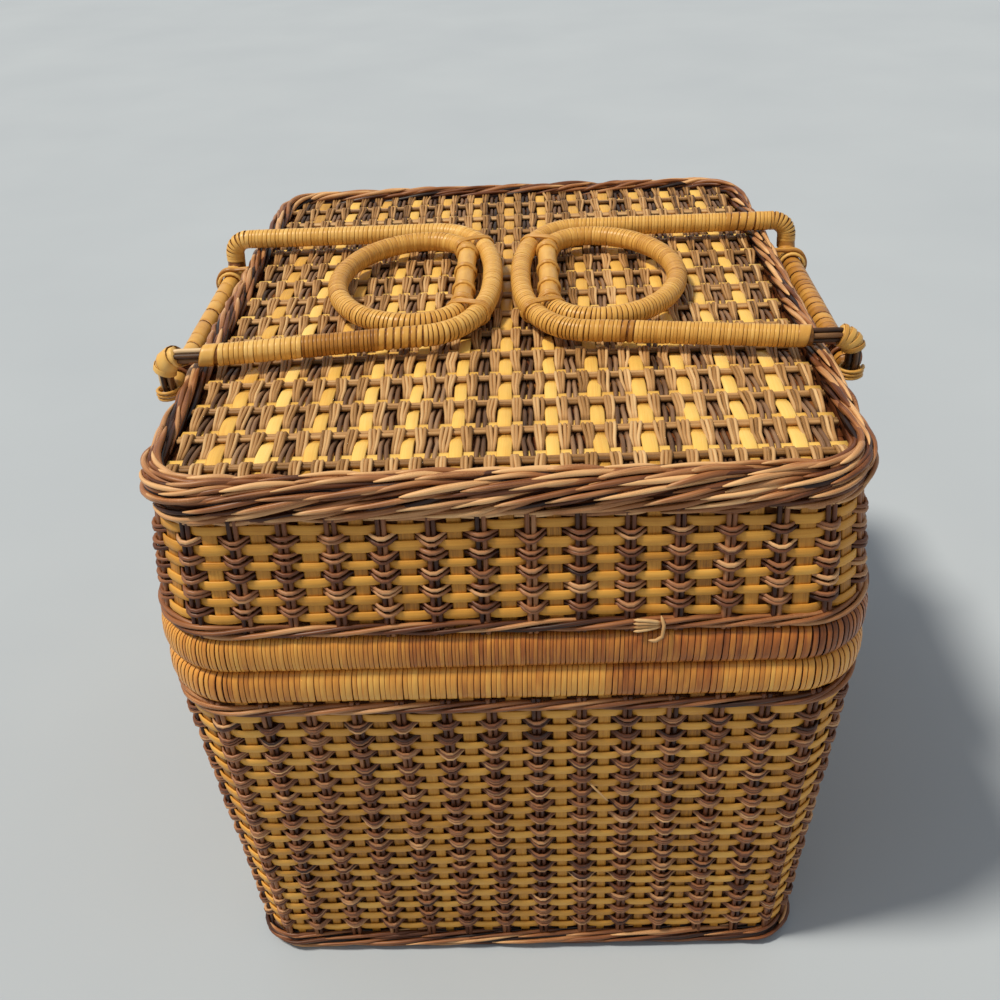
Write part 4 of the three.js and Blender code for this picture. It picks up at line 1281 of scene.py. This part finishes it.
@dataclass(kw_only=True)
class SwingHandle(Wicker):
    """Handle of a wound rod with a bow, a grip ring tied in the bow, and bare reeds at its front hinge."""

    side: Side
    axis_x: float = 197.7
    arm_y: float = 96.0
    z: float = 377.1
    hinge_z: float = 353.1
    radius: float = 6.5
    cane: float = 0.55
    bow_x: float = 55.0
    bow_y: float = 8.0
    bow_reach: float = 46.0
    bow_half: float = 88.0
    bow_squareness: float = 2.4
    arm_end_x: float = 172.7
    arm_stub: float = 8.0
    bar_end_y: float = -86.0
    bend: float = 11.0
    grip_x: float = 26.9
    grip_swell: float = 0.35
    ring_half: float = 70.0
    ring_corner: float = 28.0
    ring_reach: float = 54.0
    tie: float = 2.2
    lashing: float = 1.6
    lashing_turns: int = 3
    reed: float = 3.2
    reed_circle: float = 2.95
    reed_lap: float = 7.0
    reed_turn: float = 8.0
    reed_end: float = 6.0
    sleeve: tuple[float, float] = (6.2, 6.8)
    coil: float = 6.6
    coil_turns: int = 3
    coil_reed: float = 2.0
    coil_drop: float = 3.0

    @property
    def body(self) -> str:
        """Body that the handle is."""
        return f"{self.side.prefix}_handle"

    def spot(self, x: float, y: float, z: float) -> Array:
        """Point on this side of the hamper."""
        return np.array([self.side.value * x, y, z])

    def rod(self) -> Rail:
        """Draws the front arm that slants in, the bow, the back arm, the bend down and the side bar.

        Returns:
            The rod's middle.
        """
        angle, power = np.linspace(-np.pi / 2, np.pi / 2, 48), 2 / self.bow_squareness
        x = self.side.value * (self.bow_x - self.bow_reach * squared(np.cos(angle), power))
        y = self.bow_y + self.bow_half * squared(np.sin(angle), power)
        bow = np.stack([x, y, np.full(48, self.z)], -1)
        stub = [self.spot(self.arm_end_x - drawn, -self.arm_y, self.z) for drawn in (0, self.arm_stub)]
        arm, corner = (self.spot(x, self.arm_y, self.z) for x in (self.bow_x, self.axis_x))
        drop, end = (self.spot(self.axis_x, y, self.hinge_z) for y in (self.arm_y, self.bar_end_y))
        return Rail(np.vstack([stub, bow, corner_arc(arm, corner, drop, self.bend),
                               corner_arc(corner, drop, end, self.bend), end]))

    def ring(self) -> Rail:
        """Draws the grip ring, from the middle of its grip bar round and back.

        Returns:
            The ring's middle.
        """
        middle = self.spot(self.grip_x, self.bow_y, self.z)
        inner = self.grip_x + self.ring_corner
        ends = [self.bow_y + sign * self.ring_half for sign in (1, -1)]
        near, shoulder = ([self.spot(x, y, self.z) for y in ends] for x in (self.grip_x, inner))
        angle = np.linspace(np.pi / 2, -np.pi / 2, 40)
        x = self.side.value * (inner + self.ring_reach * np.cos(angle))
        far = np.stack([x, self.bow_y + self.ring_half * np.sin(angle), np.full(40, self.z)], -1)
        first = corner_arc(middle, near[0], shoulder[0], self.ring_corner)
        last = corner_arc(shoulder[1], near[1], middle, self.ring_corner)
        return Rail(np.vstack([middle, first[:-1], far, last[1:]]), closed=True)

    def reeds(self) -> Rail:
        """Draws the bare reeds, from the front arm's end down to the side bar.

        Returns:
            The bundle's middle.
        """
        start = self.spot(self.arm_end_x - self.reed_lap, -self.arm_y, self.z)
        elbow, heel = (self.spot(self.axis_x, -self.arm_y, z) for z in (self.z, self.hinge_z))
        end = self.spot(self.axis_x, self.bar_end_y + self.reed_end, self.hinge_z)
        return Rail(np.vstack([start, corner_arc(start, elbow, heel, self.bend),
                               corner_arc(elbow, heel, end, self.reed_turn), end]))

    def tie_round(self, mesh: StrandMesh, rail: Rail, at: float, turns: float, number: float) -> None:
        """Ties a few turns of thin cane round a rod.

        Args:
            mesh: Mesh that gets the tie.
            rail: The rod's middle.
            at: Distance along it where the tie starts.
            turns: Turns of the tie.
            number: Tone number.
        """
        share = np.linspace(0, turns, int(turns * 16) + 1)
        point, ahead, first, second = rail.at(at + share * self.tie * 0.95)
        angle = 2 * np.pi * share
        out = second * np.cos(angle)[:, None] + first * np.sin(angle)[:, None]
        mesh.sweep(point + out * (self.radius + 0.2), ahead, out, round_section(self.tie), number, -0.05)

    def lash(self, mesh: StrandMesh, one: Array, two: Array, number: float) -> None:
        """Lashes two rods that lie side by side with thin cane.

        Args:
            mesh: Mesh that gets the lashing.
            one: Point in the middle of the first rod.
            two: Point in the middle of the second.
            number: Tone number.
        """
        gap = np.linalg.norm(two - one)
        across = (two - one) / gap
        ahead = np.cross(across, UP)
        share = np.linspace(0, self.lashing_turns, 20 * self.lashing_turns + 1)
        angle = 2 * np.pi * share
        reach = self.radius + 0.4
        flat = squared(np.cos(angle), 0.7) * (gap / 2 + reach)
        high = squared(np.sin(angle), 0.6) * reach
        path = (one + two) / 2 + across * flat[:, None] + UP * high[:, None]
        path = path + ahead * ((share - self.lashing_turns / 2) * 1.9)[:, None]
        out = unit(across * (np.cos(angle) * 0.6)[:, None] + UP * np.sin(angle)[:, None])
        mesh.sweep(path, np.broadcast_to(ahead, path.shape), out, round_section(self.lashing), number, -0.1)

    def grip(self, rod: Rail, ring: Rail) -> None:
        """Builds the wound ring with its plain grip bar, the bar's ties and the lashings to the bow.

        Args:
            rod: The rod's middle.
            ring: The ring's middle.
        """
        mesh = StrandMesh(f"{self.side.prefix}_grip_winding")
        bare = self.ring_half - self.ring_corner
        at = np.linspace(0, ring.length, 160, endpoint=False)
        on_bar = step(np.minimum(at, ring.length - at), bare + 4, bare - 4)
        # The ring's core gets painted shade under its winding; the bare grip bar is left lighter.
        tube(mesh, ring, self.radius - self.cane + self.grip_swell * on_bar, 160, 4.0,
             UNDER_SHADE + 0.58 * on_bar)
        span = Rail(ring.at(np.linspace(bare, ring.length - bare, 200))[0])
        zones = tuple(WrapZone(share * span.length, pitch, 0.98, tone) for share, pitch, tone in RING_TURNS)
        wind(mesh, span, self.radius, zones, self.rng)
        ties = ((bare - 3, 2.6), (6, 1.6), (ring.length - 24, 1.5), (ring.length - bare - 4, 2.6))
        for k, (place, turns) in enumerate(ties):
            self.tie_round(mesh, ring, place, turns, 30 + k)
        for k, sign in enumerate((1, -1)):
            inner = ring.points[sign * (ring.points[:, 1] - self.bow_y) > 0]
            gaps = np.linalg.norm(inner[:, None] - rod.points[None], axis=-1)
            one, two = np.unravel_index(gaps.argmin(), gaps.shape)
            self.lash(mesh, inner[one], rod.points[two], 50 + k)
        mesh.build(HANDLE_CANE, self.body, "handle_cane", f"{self.side.prefix}_grip_ring")

    def bare_reeds(self, reeds: Rail) -> None:
        """Builds the bundle of bare reeds.

        Args:
            reeds: Its middle.
        """
        bare = StrandMesh(f"{self.side.prefix}_bare_reeds")
        point, _, first, second = reeds.at(np.linspace(0, reeds.length, 40))
        tones = BARE_TONES[self.side]
        for k, tone in enumerate(tones):
            angle = 2 * np.pi * (k / len(tones) + 0.05)
            offset = (second * math.cos(angle) + first * math.sin(angle)) * self.reed_circle
            bare.sweep(point + offset, second, first, round_section(self.reed, 8), k + self.seed, tone)
        bare.build(CORE_REED, self.body, "core_reed", f"{self.side.prefix}_core_reeds")

    def elbow(self, reeds: Rail) -> None:
        """Builds the sleeve on the reeds' bend and the loose coil under it.

        Args:
            reeds: Middle of the bare reeds.
        """
        mesh = StrandMesh(f"{self.side.prefix}_elbow_winding")
        begin = self.axis_x - self.bend - self.arm_end_x + self.reed_lap + self.bend * np.pi / 8 - 2
        bend = Rail(reeds.at(np.linspace(begin, begin + self.bend * np.pi / 4 + 4, 24))[0])
        turns, tone = SLEEVE_TURNS[self.side]
        tube(mesh, bend, self.sleeve[0], 20, 6.0, tone, sides=12)
        wind(mesh, bend, self.sleeve[1], (WrapZone(bend.length, bend.length / turns, 1.0, tone),), self.rng)
        share = np.linspace(0, self.coil_turns, 16 * self.coil_turns + 1)
        angle = 2 * np.pi * share
        reach = self.coil + 0.35 * np.sin(5.3 * share)
        loops = np.stack([reach * np.cos(angle), reach * np.sin(angle), share * 2.3], -1)
        middle = self.spot(self.axis_x, -self.arm_y + 0.6, self.hinge_z - self.coil_drop)
        strand(mesh, loops + middle, self.coil_reed, 8.0, -0.02)
        mesh.build(HANDLE_CANE, self.body, "handle_cane", f"{self.side.prefix}_elbow_wrap")

    def dress(self) -> None:
        """Builds the wound rod, the ring with its ties, and the bare reeds with their sleeve."""
        rod, reeds = self.rod(), self.reeds()
        mesh = StrandMesh(f"{self.side.prefix}_handle_winding")
        rows = ROD_TURNS[self.side]
        zones = tuple(WrapZone(end if end > 0 else rod.length + end, *turn) for end, *turn in rows)
        wind(mesh, rod, self.radius, zones, self.rng)
        tube(mesh, rod, self.radius - self.cane, 150, 2.0, UNDER_SHADE)
        mesh.build(HANDLE_CANE, self.body, "handle_cane", f"{self.side.prefix}_handle_frame")
        self.grip(rod, self.ring())
        self.bare_reeds(reeds)
        self.elbow(reeds)


@dataclass(kw_only=True)
class SideEye(Wicker):
    """Lashing that carries a handle's side bar: a coil round it, held by loops out of the lid's border."""

    side: Side
    place: str
    y: float
    finish: CaneFinish
    turns: int
    loops: int
    axis_x: float = 197.7
    axis_z: float = 353.1
    coil: float = 8.2
    reed: float = 2.2
    pitch: float = 2.1
    loop_pitch: float = 2.3
    loop_half: float = 1.9
    border_x: float = 183.5
    border_rises: tuple[float, float] = (10.5, -7.5)

    def dress(self) -> None:
        """Builds the coil and the loops."""
        mesh = StrandMesh(f"{self.side.prefix}_{self.place}_lashing")
        share = np.linspace(0, self.turns, 18 * self.turns + 1)
        angle = 2 * np.pi * share
        reach = self.coil + 0.2 * np.sin(3.1 * share)
        x = self.side.value * (self.axis_x + reach * np.cos(angle))
        y = self.y + (share - self.turns / 2) * self.pitch
        coil = np.stack([x, y, self.axis_z + reach * np.sin(angle)], -1)
        strand(mesh, coil, self.reed, 7.0 + self.seed, 0.2)
        angle = np.linspace(self.loop_half, -self.loop_half, 18)
        for k in range(self.loops):
            y = self.y + (k - (self.loops - 1) / 2) * self.loop_pitch + self.rng.normal(0, 0.3)
            reach = self.coil + self.rng.uniform(1.7, 2.1)
            loop = np.stack([self.axis_x + reach * np.cos(angle), y + 0.8 * np.sin(angle + k),
                             self.axis_z + reach * np.sin(angle)], -1)
            first, last = ((self.border_x, y, self.axis_z + rise) for rise in self.border_rises)
            path = np.vstack([first, loop, last]) * np.array([self.side.value, 1, 1])
            strand(mesh, path, self.reed, k + self.seed, self.rng.normal(-0.05, 0.15), samples=32)
        mesh.build(self.finish, "lid", "reed", f"{self.side.prefix}_{self.place}_eye")


@dataclass(kw_only=True)
class RearHinge:
    """Cane loops at the back: loops on the body turn about a bar held by loops on the lid."""

    side: Side
    x: float = 105.0
    axis_y: float = 241.8
    axis_z: float = 256.15
    plate: float = 17.0
    reach: float = 4.15
    reed: float = 2.3
    bar: float = 4.9
    bar_half: float = 9.3
    body_loops: tuple[float, ...] = (-2.6, 0.0, 2.6)
    lid_loops: tuple[float, ...] = (-8.1, -5.7, 5.7, 8.1)

    def loop(self, mesh: StrandMesh, x: float, direction: int, number: float) -> None:
        """Builds one loop of reed round the bar, whose two ends run along the rim.

        Args:
            mesh: Mesh that gets the loop.
            x: Place along the bar.
            direction: 1 for a loop that runs up the lid, -1 for one down the body.
            number: Tone number.
        """
        angle = np.linspace(np.pi, -np.pi * 0.72, 22)
        y, z = self.reach * np.cos(angle), -self.reach * np.sin(angle)
        first = [(x, 0.2 - self.reach, self.plate), (x, 0.1 - self.reach, self.plate - 8)]
        last = [(x, -2.4, 6.5), (x, -1.9, self.plate)]
        path = np.vstack([first, np.stack([np.full(22, x), y, z], -1), last]) * np.array([1, 1, direction])
        strand(mesh, path + BACK * self.axis_y + UP * self.axis_z, self.reed, number, samples=44)

    def dress(self) -> None:
        """Builds the body's and the lid's loops and the bar."""
        name, middle = self.side.prefix, self.side.value * self.x
        body, lid = (StrandMesh(f"{name}_{part}_hinge_loops") for part in ("body", "lid"))
        for k, shift in enumerate(self.body_loops):
            self.loop(body, middle + shift, -1, 3.0 + k)
        for k, shift in enumerate(self.lid_loops):
            self.loop(lid, middle + shift, 1, 13.0 + k)
        x = np.linspace(middle - self.bar_half, middle + self.bar_half, 9)
        bar = np.stack([x, np.full(9, self.axis_y), np.full(9, self.axis_z)], -1)
        strand(lid, bar, self.bar, 21.0, -0.1, sides=10)
        body.build(REED, "basket_body", "reed", f"{name}_body_hinge")
        lid.build(REED, "lid", "reed", f"{name}_lid_hinge")


# Studio


@dataclass
class Studio:
    """Pale floor, soft light from the upper left and the camera at the photograph's angle."""

    camera_mm: Triple = (17.2, -680.9, 650.9)
    pitch: float = 32.88
    yaw: float = 2.4
    roll: float = -2.9
    lens: float = 40.5
    sensor: float = 36.0
    floor: tuple[str, str] = ("#AEBAC8", "#B9C5D2")
    floor_half: float = 9.0
    floor_mottle: float = 3.0
    backdrop: str = "#C0C8CE"
    sky: str = "#F4F2EE"
    sky_strength: float = 0.4
    sun: str = "#FFF1DC"
    sun_strength: float = 3.0
    sun_width: float = 9.0
    sun_from: Triple = (-0.45, -0.12, 0.88)

    def camera(self) -> None:
        """Sets the camera."""
        p, y, r = (math.radians(v) for v in (self.pitch, self.yaw, self.roll))
        turn = Matrix.Rotation(y, 3, "Z")
        ahead = turn @ Vector((0, math.cos(p), -math.sin(p)))
        up, right = turn @ Vector((0, math.sin(p), math.cos(p))), turn @ Vector((1, 0, 0))
        right, up = math.cos(r) * right + math.sin(r) * up, -math.sin(r) * right + math.cos(r) * up
        data = bpy.data.cameras.new("camera")
        data.lens, data.sensor_width = self.lens, self.sensor
        data.clip_start, data.clip_end = 0.01, 100.0
        camera = place_object("camera", data)
        camera.matrix_world = Matrix((right, up, -ahead)).transposed().to_4x4()
        camera.location = Vector(self.camera_mm) * MM
        bpy.context.scene.camera = camera

    def lamp(self) -> None:
        """Adds one soft distant lamp, so that the light is even over the floor."""
        data = bpy.data.lights.new("key", "SUN")
        data.energy, data.angle = self.sun_strength, math.radians(self.sun_width)
        data.color = linear(self.sun)[:3]
        lamp = place_object("key", data)
        lamp.rotation_euler = (-Vector(self.sun_from)).to_track_quat("-Z", "Y").to_euler()

    def ground(self) -> None:
        """Adds the floor, matt pale grey board with a faint mottle."""
        mesh, half = bpy.data.meshes.new("floor"), self.floor_half
        corners = [(-half, -half, 0), (half, -half, 0), (half, half, 0), (-half, half, 0)]
        mesh.from_pydata(corners, [], [(0, 1, 2, 3)])
        floor = place_object("floor", mesh)
        made = bpy.data.materials.new("matt_pale_board")
        tree = bare_tree(made)
        place = add(tree, "ShaderNodeTexCoord").outputs["Object"]
        mottle = add(tree, "ShaderNodeTexNoise", {"Scale": self.floor_mottle, "Detail": 3.0},
                     {"Vector": place})
        ramp = add(tree, "ShaderNodeValToRGB", links={"Fac": mottle.outputs["Fac"]})
        for stop, code in zip(ramp.color_ramp.elements, self.floor):
            stop.color = linear(code)
        shader = add(tree, "ShaderNodeBsdfPrincipled", {"Roughness": 0.9, "Specular IOR Level": 0.1},
                     {"Base Color": ramp.outputs["Color"]})
        add(tree, "ShaderNodeOutputMaterial", links={"Surface": shader.outputs["BSDF"]})
        mesh.materials.append(made)

    def world(self) -> None:
        """Sets an even pale sky, seen as a backdrop in the floor's tone."""
        world = bpy.data.worlds.new("studio")
        tree = bare_tree(world)
        path = add(tree, "ShaderNodeLightPath").outputs
        direct = add(tree, "ShaderNodeMath", links={0: path["Is Camera Ray"], 1: path["Is Glossy Ray"]})
        seen = add(tree, "ShaderNodeMath", links={0: direct.outputs[0], 1: path["Is Transmission Ray"]},
                   use_clamp=True)
        sky = add(tree, "ShaderNodeBackground", {"Color": linear(self.sky), "Strength": self.sky_strength})
        backdrop = add(tree, "ShaderNodeBackground", {"Color": linear(self.backdrop)})
        both = add(tree, "ShaderNodeMixShader", links={
            0: seen.outputs[0], 1: sky.outputs["Background"], 2: backdrop.outputs["Background"]})
        add(tree, "ShaderNodeOutputWorld", links={"Surface": both.outputs["Shader"]})
        bpy.context.scene.world = world

    def dress(self) -> None:
        """Sets up sky, floor, light and camera."""
        bpy.context.scene.view_settings.view_transform = "Standard"
        self.world()
        self.ground()
        self.lamp()
        self.camera()


def main() -> None:
    """Builds the hamper's pieces in order, then the studio."""
    logging.basicConfig(level=logging.INFO, format="%(message)s")
    body = WovenWall(
        prefix="body", body="basket_body", node="body_wall", low=14.3, high=233.7, low_inset=22.0,
        high_inset=4.6, first_row=20.2, row_pitch=11.8, rows=18, row_tone=0.1, foot=9.0, head=233.5,
        splint_width=5.8, stake_width=(5.6, 8.0), reed=1.9, reed_gap=1.75, reed_lanes=(1, 0, -1),
        reed_pieces=3, seed=11)
    lid = WovenWall(
        prefix="lid", body="lid", node="lid_wall", low=278.6, high=346.0, low_inset=4.6, high_inset=13.0,
        first_row=290.6, row_pitch=10.07, rows=6, row_tone=0.02, foot=279.0, head=350.0, splint_width=5.6,
        stake_width=(8.4, 8.2), reed=2.45, reed_gap=2.9, reed_lanes=(0.5, -0.5), reed_pieces=1, seed=23)
    builders = [
        body,
        lid,
        TwinedBand(wall=body, z=228.7, node="body_stakes", seed=31),
        TwinedBand(wall=lid, z=283.4, node="lid_stakes", seed=37),
        RolledBorder(
            name="foot_border_reeds", body="basket_body", node="foot_border", inset=24.0, z=7.2,
            radius=(7.0, 7.0), lanes=(-70, -20, 30, 80), pitch_mm=30, run_mm=80, rise=62, diameter=2.9,
            tone=-0.14, floor=0.0, seed=41),
        RolledBorder(
            name="lid_border_reeds", body="lid", node="lid_top_border", inset=15.6, z=357.2,
            radius=(8.8, 13.2), lanes=(-80, -46, -12, 22, 56, 90), pitch_mm=25, run_mm=50, rise=40,
            diameter=3.5, tone=0.23, floor=300.0, seed=43),
        BoundRim(prefix="body", body="basket_body", z=245.0, stretches=BODY_TURNS, seed=53),
        BoundRim(prefix="lid", body="lid", z=267.3, stretches=LID_TURNS, seed=59),
        LidTop(),
        FlatMat(
            name="lid_ground", body="lid", finish=HOOP_RATTAN, nodes=(), z=360.4, half_x=172.0,
            half_y=216.0, rise=0.35, thickness=0.6, tone=-0.05, cover=1.03, seed=89),
        FlatMat(
            name="base_mat", body="basket_body", finish=SPLINT, nodes=("base_panel",), z=2.6, half_x=165.5,
            half_y=208.5, rise=0.75, thickness=1.1, tone=-0.08, seed=83),
        WornSpots(body=body, lid=lid),
        SwingHandle(side=Side.LEFT, seed=61),
        SwingHandle(side=Side.RIGHT, seed=67),
    ]
    for side in Side:
        builders += [
            SideEye(side=side, place="front", y=-74.0, finish=REED, turns=5, loops=4, seed=5),
            SideEye(side=side, place="rear", y=74.0, finish=HANDLE_CANE, turns=4, loops=2, seed=9),
            RearHinge(side=side),
        ]
    builders.append(Studio())
    for builder in builders:
        builder.dress()


if __name__ == "__main__":
    main()
